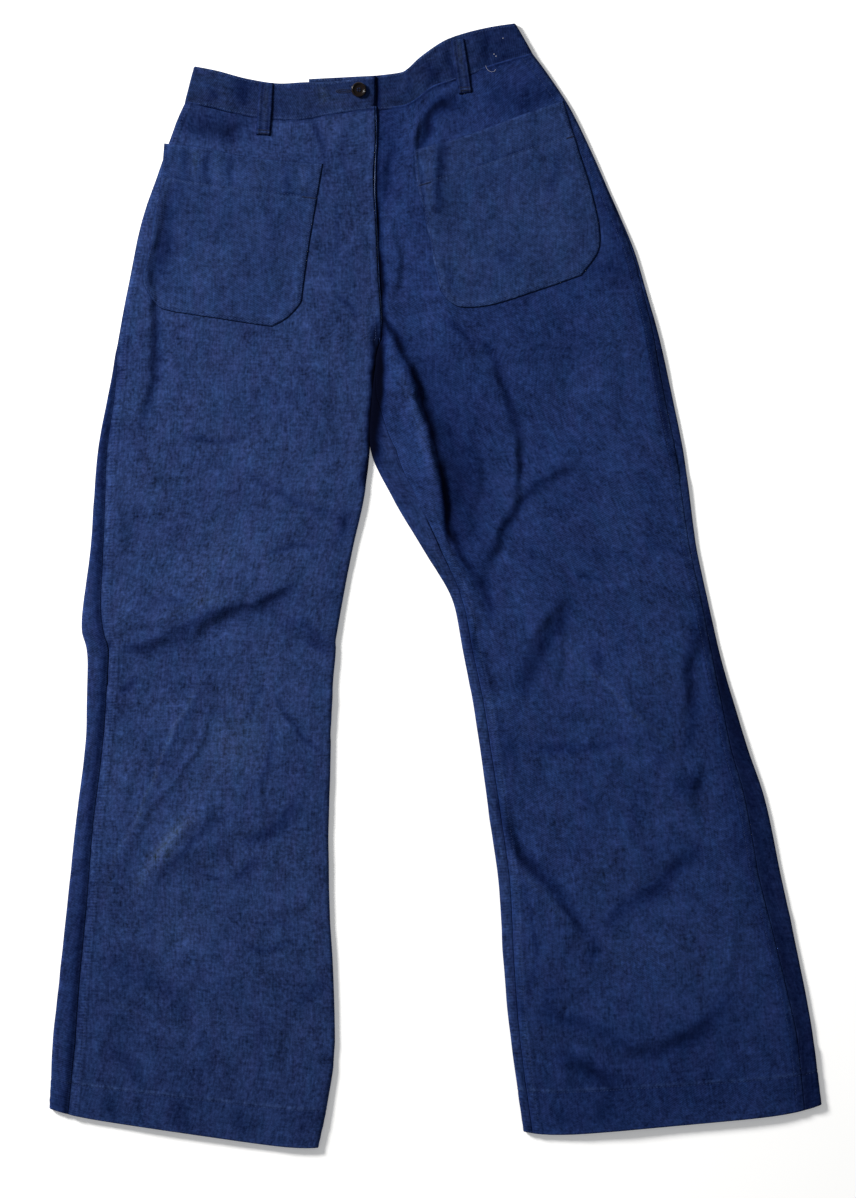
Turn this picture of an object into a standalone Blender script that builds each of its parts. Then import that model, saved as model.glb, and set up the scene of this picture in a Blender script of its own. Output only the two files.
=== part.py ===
# Flared denim trousers, laid flat and face up.
#
# Every table is in millimetres on the laying board: across from its left edge and down from its
# top edge, as one looks at the trousers from above. The wearer's right side lies on the board's
# left. The model's origin is the middle of the footprint, on the board: +X across, +Y to the waist.
from collections import namedtuple
from math import cos, exp, hypot, pi, sin

import bmesh
import bpy
from mathutils import Vector
from mathutils.bvhtree import BVHTree

MM = 0.001
BOARD_CENTRE = (435.5, 585.5)

# Cloth and the gaps between pieces
WALL = 1.2
HEM_WALL = 1.8
HEM_DEPTH = 45.0
BAND_WALL = 2.0
SEAM_GAP = 0.3
ROW_PITCH = 30.0

# How far a patch lies over the front, from the middle of one wall to the middle of the other. It is
# a little more than a wall and a gap, for the slopes.
LAYER_LIFT = 1.65

# How high the upper layer lies, measured to the middle of its wall
LOFT = 6.2
EDGE_LOFT = 5.0
EDGE_REACH = 20.0
LOWEST_TOP = 2.4
LOWEST_HEM = 4.8
FLY_OVER = 4.8
FLY_UNDER = 2.8
FLY_FLAT = 6.0
FLY_REACH = 15.0
FLY_BOTTOM = 338.0
FLY_FADE = 22.0

# The rounded edge where a layer turns under: its reach inwards, and its arc's length
SIDE_ROLL = 2.8
ARC_PER_ROLL = 1.35

# How far down the panels their rows follow the curve of the waist seam
WAIST_FADE = 60.0

# Waistband
BAND_LOFT = 5.2
BAND_OVER = 6.4
BAND_UNDER = 3.9
BAND_FADE = 28.0

FLY_SHIELD_WIDTH = 32.0
FLY_SHIELD_BOTTOM = 322.0

LOOP_WALL = 1.6
LOOP_GAP = 0.5
LOOP_ARCH = 1.6

BUTTON_RADIUS = 7.6
BUTTON_HEIGHT = 3.4
BUTTON_DISH = 1.2
BUTTON_RIM = 1.8
BUTTON_CENTRE = (359.0, 91.0)

# One row for each section of a half, from the side edge to the inner edge. The seams are measured
# round the section: outseam from the side edge over the top, inseam from the inner edge, on the top
# where it is negative and underneath where it is positive. roll is the inner edge's rounding, lap
# is how far the front runs on past the inner edge under the fly, and bow drops the middle.
Section = namedtuple("Section", "side inner outseam inseam roll lap bow")
RIGHT_SECTIONS = (
    Section((186, 102), (375, 107), 1, 0, 0, 0, 0),
    Section((175, 125), (375.5, 138), 1, 0, 0, 0, 0),
    Section((157, 175), (373.5, 180), 1, 0, 0, 0, 0),
    Section((140, 225), (376, 226), 1, 0, 0, 0, 0),
    Section((130, 275), (378, 275), 1, 0, 0, 0, 0),
    Section((121, 320), (381, 318), 1, 0, 0, 0, 0),
    Section((117, 345), (380, 340), 2, 0, 0, 0, 0),
    Section((115, 355), (377.5, 352), 3, 0, 2, 0, 0),
    Section((112.5, 375), (374, 372), 5, 2, 3, 0, 0),
    Section((108, 400), (372.5, 400), 7, 5, 3, 0, 0),
    Section((98, 450), (370, 448), 10, 6, 3, 0, 0),
    Section((94, 500), (364, 497), 12, 6, 3, 0, 0),
    Section((91, 550), (352.5, 550), 13, 6, 3, 0, 0),
    Section((84, 600), (343, 600), 18, 6, 3, 0, 0),
    Section((82.5, 630), (337, 634), 22, 6, 3, 0, 0),
    Section((87.5, 652), (335.5, 656), 22, 6, 3, 0, 0),
    Section((87, 700), (332, 700), 20, 6, 3, 0, 0),
    Section((85, 750), (331, 752), 18, 6, 3, 0, 0),
    Section((76, 825), (328.5, 832), 18, 6, 3, 0, 0),
    Section((68, 900), (330, 912), 20, 6, 3, 0, 0),
    Section((60, 975), (334, 992), 21, 6, 3, 0, 0),
    Section((53.5, 1040), (333.5, 1064), 23, 6, 3, 0, 2),
    Section((50, 1108), (318, 1147), 19, 6, 3, 0, 5),
)
LEFT_SECTIONS = (
    Section((532, 54), (377, 108), 2, 0, 0, 12, 0),
    Section((549, 76), (377.5, 128), 2, 0, 0, 12, 0),
    Section((570, 108), (377, 152), 2, 0, 0, 12, 0),
    Section((591, 150), (376.5, 185), 2, 0, 0, 12, 0),
    Section((613, 200), (377, 222), 3, 0, 0, 12, 0),
    Section((634, 250), (379, 262), 3, 0, 0, 12, 0),
    Section((648, 297), (381, 300), 4, 0, 0, 10, 0),
    Section((656, 325), (382.5, 322), 5, 0, 0, 4, 0),
    Section((661, 345), (382, 340), 6, 0, 0, 0, 0),
    Section((665, 362), (379, 358), 7, 0, 3, 0, 0),
    Section((673, 400), (375, 398), 8, -4, 3, 0, 0),
    Section((683, 450), (372.5, 450), 8, -26, 3, 0, 0),
    Section((690, 500), (394, 500), 8, -25, 3, 0, 0),
    Section((697, 550), (424, 550), 7, -17, 3, 0, 0),
    Section((708, 600), (452, 598), 7, -10, 3, 0, 0),
    Section((719, 650), (463, 650), 8, -10, 3, 0, 0),
    Section((733, 700), (473, 702), 12, -11, 3, 0, 0),
    Section((748, 750), (481, 754), 17, -11, 3, 0, 0),
    Section((765, 800), (488, 806), 20, -12, 3, 0, 0),
    Section((781, 875), (498.5, 882), 23, -12, 3, 0, 0),
    Section((797, 950), (503.5, 960), 20, -11, 3, 0, 0),
    Section((812, 1030), (511, 1042), 16, -10, 3, 0, 3),
    Section((821, 1104), (524, 1131), 17, -9, 3, 0, 8),
)

# One row for each rib of the waistband, from the side edge to the fly: its lower and upper end
Rib = namedtuple("Rib", "seam top")
RIGHT_RIBS = (
    Rib((186, 102), (195, 67)),
    Rib((213, 106), (218, 71.5)),
    Rib((241, 113), (246, 79)),
    Rib((276, 118), (277, 84)),
    Rib((304, 118), (304, 83)),
    Rib((337, 112), (336, 82)),
    Rib((375, 107), (376, 77)),
)
LEFT_RIBS = (
    Rib((532, 54), (515, 24)),
    Rib((499, 63), (489, 28)),
    Rib((473, 72), (464, 34)),
    Rib((452, 80), (443, 42)),
    Rib((432, 87), (421, 57)),
    Rib((415, 100), (408, 69)),
    Rib((402, 106), (400, 73)),
    Rib((377, 108), (377, 76)),
)
UNDERLAP_END = Rib((309, 114.5), (309, 79.5))
UNDERLAP_SLOPE = 6.5 / 68.0

# The slight waviness of cloth that lies loose: its height, and its run across and down
Wave = namedtuple("Wave", "height across down")
WAVES = (Wave(0.35, 23.0, 61.0), Wave(0.35, -70.0, 37.0))

# The largest folds, from their upper or right end. ridge raises the line itself, and drop raises
# the side towards the upper left and sinks the side towards the lower right.
Fold = namedtuple("Fold", "line width ridge drop")
FOLD_STEPS = 5
FOLD_TAPER = 0.6
RIGHT_FOLDS = (
    Fold(((250, 112), (220, 124), (188, 138)), 13, 0, 1.4),
    Fold(((163, 185), (156, 240), (155, 310), (150, 390), (133, 435)), 8, 0, 1.8),
    Fold(((245, 438), (212, 439), (178, 437)), 5, 0, 1.1),
    Fold(((345, 525), (290, 500), (235, 465)), 9, 0, 1.0),
    Fold(((310, 545), (255, 548)), 7, 0, 0.7),
    Fold(((302, 585), (240, 610), (180, 640), (104, 660)), 12, 0, 3.2),
    Fold(((333, 652), (290, 630)), 7, 0, 1.6),
    Fold(((325, 745), (300, 720), (250, 700)), 8, 0, 1.1),
    Fold(((215, 650), (190, 720), (150, 790), (98, 915)), 10, 1.5, 0.4),
    Fold(((300, 800), (270, 830), (228, 836)), 10, 0, 1.9),
    Fold(((242, 882), (210, 860), (175, 865), (146, 890)), 9, 0, 1.5),
    Fold(((160, 1028), (140, 1002), (85, 990)), 11, 0, 1.1),
)
LEFT_FOLDS = (
    Fold(((480, 68), (455, 95), (430, 115), (414, 152)), 8, 0, 2.0),
    Fold(((387, 145), (391, 212)), 8, 0, 1.2),
    Fold(((444, 145), (438, 240)), 10, 0, 1.3),
    Fold(((397, 338), (409, 370), (426, 416), (436, 481), (452, 572)), 10, 2.0, 3.4),
    Fold(((488, 357), (500, 385), (521, 450), (504, 530), (479, 582)), 9, 0, 2.6),
    Fold(((592, 464), (550, 480), (516, 496)), 9, 0, 2.0),
    Fold(((468, 582), (491, 618)), 8, 0, 1.6),
    Fold(((578, 588), (545, 620), (530, 660), (519, 702)), 10, 0, 2.5),
    Fold(((590, 660), (630, 703), (672, 752)), 7, 1.3, 0),
    Fold(((702, 618), (690, 660), (688, 720), (682, 765)), 10, 0, 2.9),
    Fold(((655, 380), (665, 440), (681, 482)), 11, 0, 1.5),
    Fold(((525, 868), (551, 907), (583, 933), (602, 946)), 8, 0, 1.8),
    Fold(((692, 848), (638, 892)), 16, 0, 1.3),
    Fold(((712, 1018), (640, 1047), (600, 1050), (538, 1018)), 15, 0, 1.5),
)

# Corners of the patch pockets
RIGHT_POCKET = (
    (170, 145), (323, 164.5), (303, 291), (296, 312), (272, 327), (163, 310), (148, 293), (143, 280),
)
LEFT_POCKET = (
    (414, 151), (560, 103), (588, 180), (600, 240), (596, 256), (581, 276),
    (494, 305), (462, 308), (440, 291), (425, 222),
)

# Belt loops: the middle of the upper and lower end, and the width
Loop = namedtuple("Loop", "top bottom width")
RIGHT_LOOP = Loop((267, 84), (263, 136), 15)
LEFT_LOOP = Loop((458, 41), (465.5, 94), 14)


def on_board(point, height):
    """The place in metres of a point on the laying board, at a height in millimetres."""
    across, down = point
    return Vector(((across - BOARD_CENTRE[0]) * MM, (BOARD_CENTRE[1] - down) * MM, height * MM))


def mix(a, b, share):
    return a + (b - a) * share


def mix_points(a, b, share):
    return (mix(a[0], b[0], share), mix(a[1], b[1], share))


def smooth(value):
    value = min(1.0, max(0.0, value))
    return value * value * (3.0 - 2.0 * value)


def curve_point(points, place):
    """A smooth curve through the points. place runs from 0 to the number of spans."""
    span = min(int(max(place, 0.0)), len(points) - 2)
    part = place - span
    before = points[max(span - 1, 0)]
    start, end = points[span], points[span + 1]
    after = points[min(span + 2, len(points) - 1)]
    result = []
    for a, b, c, d in zip(before, start, end, after):
        bend = 2 * a - 5 * b + 4 * c - d
        twist = 3 * (b - c) + d - a
        result.append(b + 0.5 * part * (c - a + part * (bend + part * twist)))
    return tuple(result)


def section_at(sections, place):
    """The section between two rows: edges on smooth curves, the rest in proportion."""
    span = min(int(place), len(sections) - 2)
    part = place - span
    first, second = sections[span], sections[span + 1]
    values = [mix(a, b, part) for a, b in zip(first[2:], second[2:])]
    side = curve_point([row.side for row in sections], place)
    inner = curve_point([row.inner for row in sections], place)
    return Section(side, inner, *values)


def rounded(fold):
    """The fold with its line drawn as a smooth curve in short steps."""
    spans = len(fold.line) - 1
    line = [curve_point(fold.line, step / FOLD_STEPS) for step in range(FOLD_STEPS * spans + 1)]
    return fold._replace(line=line)


def fold_height(fold, point):
    """What one fold adds to the height at a point."""
    steps = len(fold.line) - 1
    nearest = None
    for step, (start, end) in enumerate(zip(fold.line, fold.line[1:])):
        run = (end[0] - start[0], end[1] - start[1])
        length = hypot(*run)
        away = (point[0] - start[0], point[1] - start[1])
        along = min(1.0, max(0.0, (away[0] * run[0] + away[1] * run[1]) / length ** 2))
        gap = (away[0] - run[0] * along, away[1] - run[1] * along)
        distance = hypot(*gap)
        if nearest is None or distance < nearest[0]:
            beyond = gap[0] * run[1] - gap[1] * run[0]
            nearest = (distance, distance if beyond > 0 else -distance, (step + along) / steps)
    across = nearest[1] / fold.width
    taper = sin(pi * min(1.0, max(0.0, nearest[2]))) ** FOLD_TAPER
    bell = exp(-0.5 * across * across)
    return taper * bell * (fold.ridge - fold.drop * across * exp(0.5))


def loose_height(point, folds):
    """The folds and waves at a point."""
    across, down = point
    waves = sum(wave.height * sin(across / wave.across + down / wave.down) for wave in WAVES)
    return waves + sum(fold_height(fold, point) for fold in folds)


class Half:
    """One half of the trousers, the wearer's right or left. The right front closes over the left."""

    def __init__(self, sections, ribs, folds, fly_loft, band_loft, is_right):
        self.sections = sections
        self.ribs = ribs
        self.folds = [rounded(fold) for fold in folds]
        self.fly_loft = fly_loft
        self.band_loft = band_loft
        self.is_right = is_right

    def rows(self):
        """Places of the mesh rows along the half, about a pitch apart."""
        places = [0.0]
        for index, (first, second) in enumerate(zip(self.sections, self.sections[1:])):
            length = hypot(second.side[0] - first.side[0], second.side[1] - first.side[1])
            steps = max(1, round(length / ROW_PITCH))
            places += [index + (step + 1) / steps for step in range(steps)]
        return places

    def band_height(self, share):
        """The waistband's height, from the side edge to the fly."""
        start = 0.45 if self.is_right else 0.7
        return mix(BAND_LOFT, self.band_loft, smooth((share - start) / 0.2))

    def rib_at(self, share):
        place = share * (len(self.ribs) - 1)
        seam = curve_point([rib.seam for rib in self.ribs], place)
        top = curve_point([rib.top for rib in self.ribs], place)
        return Rib(seam, top)

    def plan_point(self, section, share):
        """Where a share of the way from side edge to inner edge lies on the board."""
        across, down = mix_points(section.side, section.inner, share)
        inside = min(1.0, max(0.0, share))
        waist = self.sections[0]
        seam = self.rib_at(inside).seam
        chord = mix_points(waist.side, waist.inner, inside)
        fade = exp(-((section.side[1] - waist.side[1]) / WAIST_FADE) ** 2)
        down += section.bow * (1.0 - (2.0 * inside - 1.0) ** 6)
        return (across + fade * (seam[0] - chord[0]), down + fade * (seam[1] - chord[1]))

    def top_height(self, section, share, point):
        """The height of the upper layer's middle over the board."""
        width = abs(section.inner[0] - section.side[0])
        from_side = max(0.0, share * width - SIDE_ROLL)
        from_inner = max(0.0, (1.0 - share) * width - section.roll)
        edge = 1.0 - exp(-min(from_side, from_inner) / EDGE_REACH)
        leg = mix(EDGE_LOFT, LOFT, edge)
        rise = 1.0 - exp(-max(0.0, from_inner - FLY_FLAT) / FLY_REACH)
        hip = mix(self.fly_loft, leg, rise)
        base = mix(hip, leg, smooth((section.inner[1] - FLY_BOTTOM) / FLY_FADE))
        height = base + loose_height(point, self.folds)
        below_waist = section.inner[1] - self.sections[0].inner[1]
        height = mix(height, self.band_height(share), exp(-(below_waist / BAND_FADE) ** 2))
        lowest = LOWEST_TOP
        if self.is_right and section.inner[1] < FLY_BOTTOM:
            lowest = FLY_OVER - 0.4
        hem = self.sections[-1].inner[1] - section.inner[1]
        if hem < HEM_DEPTH + ROW_PITCH:
            lowest = LOWEST_HEM
        return max(lowest, height)

    def way_length(self, section):
        """The way over the top from the side edge to the inner edge."""
        edge_gap = WALL / 2
        inner_gap = edge_gap if section.roll > 0 else 0.0
        width = abs(section.inner[0] - section.side[0]) - edge_gap - inner_gap
        return width + (ARC_PER_ROLL - 1) * (SIDE_ROLL + section.roll)

    def go_round(self, section, way):
        """Where a way round the section leads: a share of the width, and a share of the height.

        The way starts at the side edge, runs over the top to the inner edge and back underneath.
        """
        full = abs(section.inner[0] - section.side[0])
        inner_gap = WALL / 2 if section.roll > 0 else 0.0
        length = self.way_length(section)
        if way > 2 * length:
            way -= 2 * length
        top = way <= length
        if not top:
            way = 2 * length - way
        side_arc = SIDE_ROLL * ARC_PER_ROLL
        inner_arc = section.roll * ARC_PER_ROLL
        if way < side_arc:
            angle = way / side_arc * pi / 2
            inwards, rise = SIDE_ROLL * (1 - cos(angle)), sin(angle)
        elif way > length - inner_arc:
            angle = (length - way) / inner_arc * pi / 2
            inwards = full - WALL / 2 - inner_gap - section.roll * (1 - cos(angle))
            rise = sin(angle)
        else:
            inwards, rise = SIDE_ROLL + way - side_arc, 1.0
        lift = 0.5 + 0.5 * rise if top else 0.5 - 0.5 * rise
        return (WALL / 2 + inwards) / full, lift

    def round_point(self, place, way, upper):
        """A point of the cloth's middle on the section at a place, a way round from its side.

        Where the inner edge is not rounded, the upper and lower layer each run on level past it.
        """
        section = section_at(self.sections, place)
        past = way - self.way_length(section)
        level = section.roll == 0
        if level and upper and past > 0:
            edge = self.plan_point(section, 1.0)
            point = (edge[0] - past, edge[1] + past * UNDERLAP_SLOPE)
            return on_board(point, self.top_height(section, 1.0, point))
        share, lift = self.go_round(section, way)
        if level and not upper and -1.0 < past < 0:
            lift = 0.0
        point = self.plan_point(section, share)
        return on_board(point, mix(WALL / 2, self.top_height(section, share, point), lift))

    def round_normal(self, place, way, upper):
        """The cloth's own direction out, so that two pieces agree where they meet at a seam."""
        last = len(self.sections) - 1
        before, after = max(0.0, place - 0.02), min(last, place + 0.02)
        along = self.round_point(after, way, upper) - self.round_point(before, way, upper)
        across = self.round_point(place, way + 0.4, upper)
        across -= self.round_point(place, way - 0.4, upper)
        turn = along.cross(across) if self.is_right else across.cross(along)
        return turn.normalized()


def spread(knots, counts):
    """Steps between each pair of knots, evenly within it."""
    ways = [knots[0]]
    for first, second, count in zip(knots, knots[1:], counts):
        ways += [mix(first, second, (step + 1) / count) for step in range(count)]
    return ways


def front_ways(half, section):
    """Ways round a section for a front: from the outseam, over the top, to its inner seam."""
    length = half.way_length(section)
    start = section.outseam + SEAM_GAP / 2
    past_side = max(SIDE_ROLL * ARC_PER_ROLL, start + 3)
    if half.is_right:
        end = length + section.inseam - SEAM_GAP / 2
        before_inner = min(length - section.roll * ARC_PER_ROLL, end - 6)
        return spread((start, past_side, before_inner, end), (2, 17, 4))
    end = length + section.inseam + section.lap - SEAM_GAP / 2
    return spread((start, past_side, end - 24, end - 12, end), (2, 15, 2, 2))


def back_ways(half, section):
    """Ways round a section for a back: from the inner seam, underneath, up to the outseam."""
    length = half.way_length(section)
    start = length + section.inseam + SEAM_GAP / 2
    end = 2 * length + section.outseam - SEAM_GAP / 2
    side_arc = SIDE_ROLL * ARC_PER_ROLL
    past_side = min(2 * length + side_arc, end - 1.5)
    if half.is_right:
        return spread((start, 2 * length - side_arc, past_side, end), (4, 4, 1))
    inner_arc = section.roll * ARC_PER_ROLL
    before_inner = max(length - inner_arc, start + 1.5)
    past_inner = max(length + inner_arc, before_inner + 4)
    knots = (start, before_inner, past_inner, 2 * length - side_arc, past_side, end)
    return spread(knots, (1, 4, 3, 4, 1))


def grid_mesh(rows, outward, normals=None):
    """A triangulated open surface through rows of points, facing along outward at its middle."""
    mesh = bmesh.new()
    grid = [[mesh.verts.new(point) for point in row] for row in rows]
    for first, second in zip(grid, grid[1:]):
        for a, b, c, d in zip(first, first[1:], second[1:], second):
            mesh.faces.new((a, b, c, d))
    bmesh.ops.triangulate(mesh, faces=mesh.faces[:])
    mesh.normal_update()
    middle = max(mesh.faces, key=lambda face: abs(face.normal.dot(outward)))
    if middle.normal.dot(outward) < 0:
        bmesh.ops.reverse_faces(mesh, faces=mesh.faces[:])
    mesh.normal_update()
    if normals:
        for vert_row, normal_row in zip(grid, normals):
            for vert, normal in zip(vert_row, normal_row):
                vert.normal = normal
    return mesh


def thicken(surface, outward, inward):
    """A closed wall round an open surface. inward gives a thickness at each of its points."""
    wall = bmesh.new()
    outer, inner = {}, {}
    for vert in surface.verts:
        outer[vert] = wall.verts.new(vert.co + vert.normal * outward * MM)
        inner[vert] = wall.verts.new(vert.co - vert.normal * inward(vert.co) * MM)
    for face in surface.faces:
        wall.faces.new([outer[vert] for vert in face.verts])
        wall.faces.new([inner[vert] for vert in reversed(face.verts)])
    for edge in surface.edges:
        if edge.is_boundary:
            loop = edge.link_loops[0]
            start, end = loop.vert, loop.link_loop_next.vert
            wall.faces.new((outer[end], outer[start], inner[start], inner[end]))
    bmesh.ops.triangulate(wall, faces=wall.faces[:])
    return wall


def even(thickness):
    return lambda place: thickness


def hem_thickness(half):
    """Half the wall, and the turned-up hem's extra layer on the inside near the leg opening."""
    hem_side, hem_inner = half.sections[-1].side, half.sections[-1].inner
    slope = (hem_inner[1] - hem_side[1]) / (hem_inner[0] - hem_side[0])

    def thickness(place):
        across = place.x / MM + BOARD_CENTRE[0]
        down = BOARD_CENTRE[1] - place.y / MM
        hem_down = hem_side[1] + slope * (across - hem_side[0])
        in_hem = hem_down - down < HEM_DEPTH
        return HEM_WALL - WALL / 2 if in_hem else WALL / 2

    return thickness


def add_object(name, mesh, material):
    """A smooth-shaded object from a bmesh, which is freed."""
    data = bpy.data.meshes.new(name)
    mesh.to_mesh(data)
    mesh.free()
    data.shade_smooth()
    data.set_sharp_from_angle(angle=0.7)
    data.materials.append(material)
    item = bpy.data.objects.new(name, data)
    bpy.context.collection.objects.link(item)
    return item


def make_material(name, colour, roughness):
    material = bpy.data.materials.new(name)
    material.use_nodes = True
    shader = material.node_tree.nodes["Principled BSDF"]
    shader.inputs["Base Color"].default_value = (*colour, 1.0)
    shader.inputs["Roughness"].default_value = roughness
    shader.inputs["Metallic"].default_value = 0.0
    return material


def panel_surface(half, ways, outward):
    upper = ways is front_ways
    points, normals = [], []
    for place in half.rows():
        row = ways(half, section_at(half.sections, place))
        points.append([half.round_point(place, way, upper) for way in row])
        normals.append([half.round_normal(place, way, upper) for way in row])
    return grid_mesh(points, outward, normals)


def make_panel(name, half, ways, outward, material):
    surface = panel_surface(half, ways, outward)
    wall = thicken(surface, WALL / 2, hem_thickness(half))
    surface.free()
    return add_object(name, wall, material)


def make_pocket(name, half, corners, material):
    """A patch cut from the front's own surface along its straight sides, and moved out."""
    surface = panel_surface(half, front_ways, Vector((0, 0, 1)))
    middle = Vector((0, 0, 0))
    places = [on_board(corner, 0) for corner in corners]
    for place in places:
        middle += place / len(places)
    for start, end in zip(places, places[1:] + places[:1]):
        side = (end - start).cross(Vector((0, 0, 1))).normalized()
        if side.dot(middle - start) > 0:
            side.negate()
        bmesh.ops.bisect_plane(
            surface, geom=surface.verts[:] + surface.edges[:] + surface.faces[:],
            dist=0.2 * MM, plane_co=start, plane_no=side, clear_outer=True)
    bmesh.ops.triangulate(surface, faces=surface.faces[:])
    bmesh.ops.translate(surface, verts=surface.verts[:], vec=(0, 0, LAYER_LIFT * MM))
    surface.normal_update()
    wall = thicken(surface, WALL / 2, even(WALL / 2))
    surface.free()
    return add_object(name, wall, material)


def band_ribs(half):
    """Ribs of one half of the band with their heights, at the points of the panels' upper edges."""
    waist = half.sections[0]._replace(lap=0)
    result = []
    for way in front_ways(half, waist)[::-1] + back_ways(half, waist)[-2::-1]:
        share, lift = half.go_round(waist, way)
        result.append((half.rib_at(share), mix(BAND_WALL / 2, half.band_height(share), lift)))
    return result


def make_waistband(right, left, material):
    """One strip: from the overlap's end round the back to the underlap's end."""
    ribs = band_ribs(right)
    ribs += reversed(band_ribs(left))
    fly = left.ribs[-1]
    for share in (0.25, 0.5, 0.75, 1.0):
        seam = mix_points(fly.seam, UNDERLAP_END.seam, share)
        top = mix_points(fly.top, UNDERLAP_END.top, share)
        ribs.append((Rib(seam, top), BAND_UNDER))
    rows = []
    for rib, height in ribs:
        length = hypot(rib.top[0] - rib.seam[0], rib.top[1] - rib.seam[1])
        shares = (SEAM_GAP / length, 0.34, 0.67, 1.0)
        rows.append([on_board(mix_points(rib.seam, rib.top, share), height) for share in shares])
    surface = grid_mesh(rows, Vector((0, 0, 1)))
    wall = thicken(surface, BAND_WALL / 2, even(BAND_WALL / 2))
    surface.free()
    return add_object("waistband", wall, material)


def make_fly_shield(left, material):
    """The shield behind the fly, sewn to the edge of the left front that runs under it."""
    rows = []
    for place in left.rows():
        section = section_at(left.sections, place)
        if section.inner[1] > FLY_SHIELD_BOTTOM:
            break
        edge = section.inner[0] - section.lap - SEAM_GAP / 2
        row = []
        for step in range(4):
            across = edge - FLY_SHIELD_WIDTH * step / 3
            down = section.inner[1] + (section.inner[0] - across) * UNDERLAP_SLOPE + SEAM_GAP
            row.append(on_board((across, down), FLY_UNDER))
        rows.append(row)
    surface = grid_mesh(rows, Vector((0, 0, 1)))
    wall = thicken(surface, WALL / 2, even(WALL / 2))
    surface.free()
    return add_object("fly_shield", wall, material)


def tree_of(item):
    mesh = item.data
    corners = [vert.co for vert in mesh.vertices]
    return BVHTree.FromPolygons(corners, [face.vertices[:] for face in mesh.polygons])


def highest(trees, place):
    """The height of the uppermost cloth over a place, in millimetres."""
    above = Vector((place.x, place.y, 1.0))
    heights = []
    for tree in trees:
        hit = tree.ray_cast(above, Vector((0, 0, -1)))[0]
        if hit is not None:
            heights.append(hit.z / MM)
    return max(heights, default=0.0)


def make_belt_loop(name, loop, trees, material):
    """A strip that stands off the band and lies on the front below it."""
    start, end = on_board(loop.top, 0), on_board(loop.bottom, 0)
    sideways = (end - start).cross(Vector((0, 0, 1))).normalized() * loop.width / 2 * MM
    steps = 9
    rows = []
    for step in range(steps + 1):
        share = step / steps
        middle = start.lerp(end, share)
        near = [start.lerp(end, min(1.0, max(0.0, share + shift))) for shift in (-0.06, 0, 0.06)]
        base = max(
            highest(trees, place + sideways * turn)
            for place in near for turn in (-1, -0.5, 0, 0.5, 1))
        height = base + LOOP_GAP + LOOP_WALL / 2 + LOOP_ARCH * sin(pi * share)
        crown = middle.copy()
        crown.z = (height + 0.4) * MM
        edge = Vector((0, 0, height * MM))
        rows.append([middle - sideways + edge, crown, middle + sideways + edge])
    surface = grid_mesh(rows, Vector((0, 0, 1)))
    wall = thicken(surface, LOOP_WALL / 2, even(LOOP_WALL / 2))
    surface.free()
    return add_object(name, wall, material)


def make_button(trees, material):
    """A turned button with a raised rim and a dished face, on the band's overlap."""
    centre = on_board(BUTTON_CENTRE, 0)
    around = [
        centre + Vector((cos(turn * pi / 4), sin(turn * pi / 4), 0)) * BUTTON_RADIUS * MM
        for turn in range(8)]
    base = max(highest(trees, place) for place in [centre] + around) + SEAM_GAP
    profile = (
        (0.0, 0.0),
        (BUTTON_RADIUS - 1.4, 0.0),
        (BUTTON_RADIUS, 1.2),
        (BUTTON_RADIUS - 0.3, BUTTON_HEIGHT - 0.5),
        (BUTTON_RADIUS - 1.0, BUTTON_HEIGHT),
        (BUTTON_RADIUS - BUTTON_RIM, BUTTON_HEIGHT - 0.2),
        (BUTTON_RADIUS - 3.0, BUTTON_HEIGHT - BUTTON_DISH),
        (0.0, BUTTON_HEIGHT - BUTTON_DISH - 0.2),
    )
    mesh = bmesh.new()
    verts = [
        mesh.verts.new((centre.x + radius * MM, centre.y, (base + height) * MM))
        for radius, height in profile]
    edges = [mesh.edges.new(pair) for pair in zip(verts, verts[1:])]
    bmesh.ops.spin(
        mesh, geom=verts + edges, cent=(centre.x, centre.y, 0), axis=(0, 0, 1),
        angle=2 * pi, steps=20)
    bmesh.ops.remove_doubles(mesh, verts=mesh.verts[:], dist=0.01 * MM)
    bmesh.ops.recalc_face_normals(mesh, faces=mesh.faces[:])
    return add_object("button", mesh, material)


def main():
    for item in list(bpy.data.objects):
        bpy.data.objects.remove(item, do_unlink=True)

    denim = make_material("denim_front", (0.030, 0.048, 0.115), 0.9)
    dark_denim = make_material("denim_back", (0.024, 0.038, 0.095), 0.9)
    band_denim = make_material("denim_band", (0.028, 0.045, 0.110), 0.9)
    pocket_denim = make_material("denim_pocket", (0.033, 0.052, 0.125), 0.9)
    plastic = make_material("button_plastic", (0.012, 0.010, 0.012), 0.25)

    right = Half(RIGHT_SECTIONS, RIGHT_RIBS, RIGHT_FOLDS, FLY_OVER, BAND_OVER, True)
    left = Half(LEFT_SECTIONS, LEFT_RIBS, LEFT_FOLDS, FLY_UNDER, BAND_UNDER, False)
    up = Vector((0, 0, 1))

    front_right = make_panel("front_right", right, front_ways, up, denim)
    front_left = make_panel("front_left", left, front_ways, up, denim)
    make_panel("back_right", right, back_ways, -up, dark_denim)
    make_panel("back_left", left, back_ways, -up, dark_denim)
    waistband = make_waistband(right, left, band_denim)
    make_fly_shield(left, dark_denim)
    make_pocket("pocket_right", right, RIGHT_POCKET, pocket_denim)
    make_pocket("pocket_left", left, LEFT_POCKET, pocket_denim)

    trees = [tree_of(item) for item in (front_right, front_left, waistband)]
    make_belt_loop("belt_loop_right", RIGHT_LOOP, trees, band_denim)
    make_belt_loop("belt_loop_left", LEFT_LOOP, trees, band_denim)
    make_button(trees, plastic)


main()
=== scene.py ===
# Flared denim trousers, laid flat and face up: cloth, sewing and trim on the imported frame.
# The tables are in millimetres on the laying board, across from its left edge and down from its top
# edge, as one looks at the trousers. The wearer's right leg is on the board's left.
import math

import bmesh
import bpy
import numpy as np
from mathutils import Matrix, Vector
from mathutils.bvhtree import BVHTree


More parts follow.
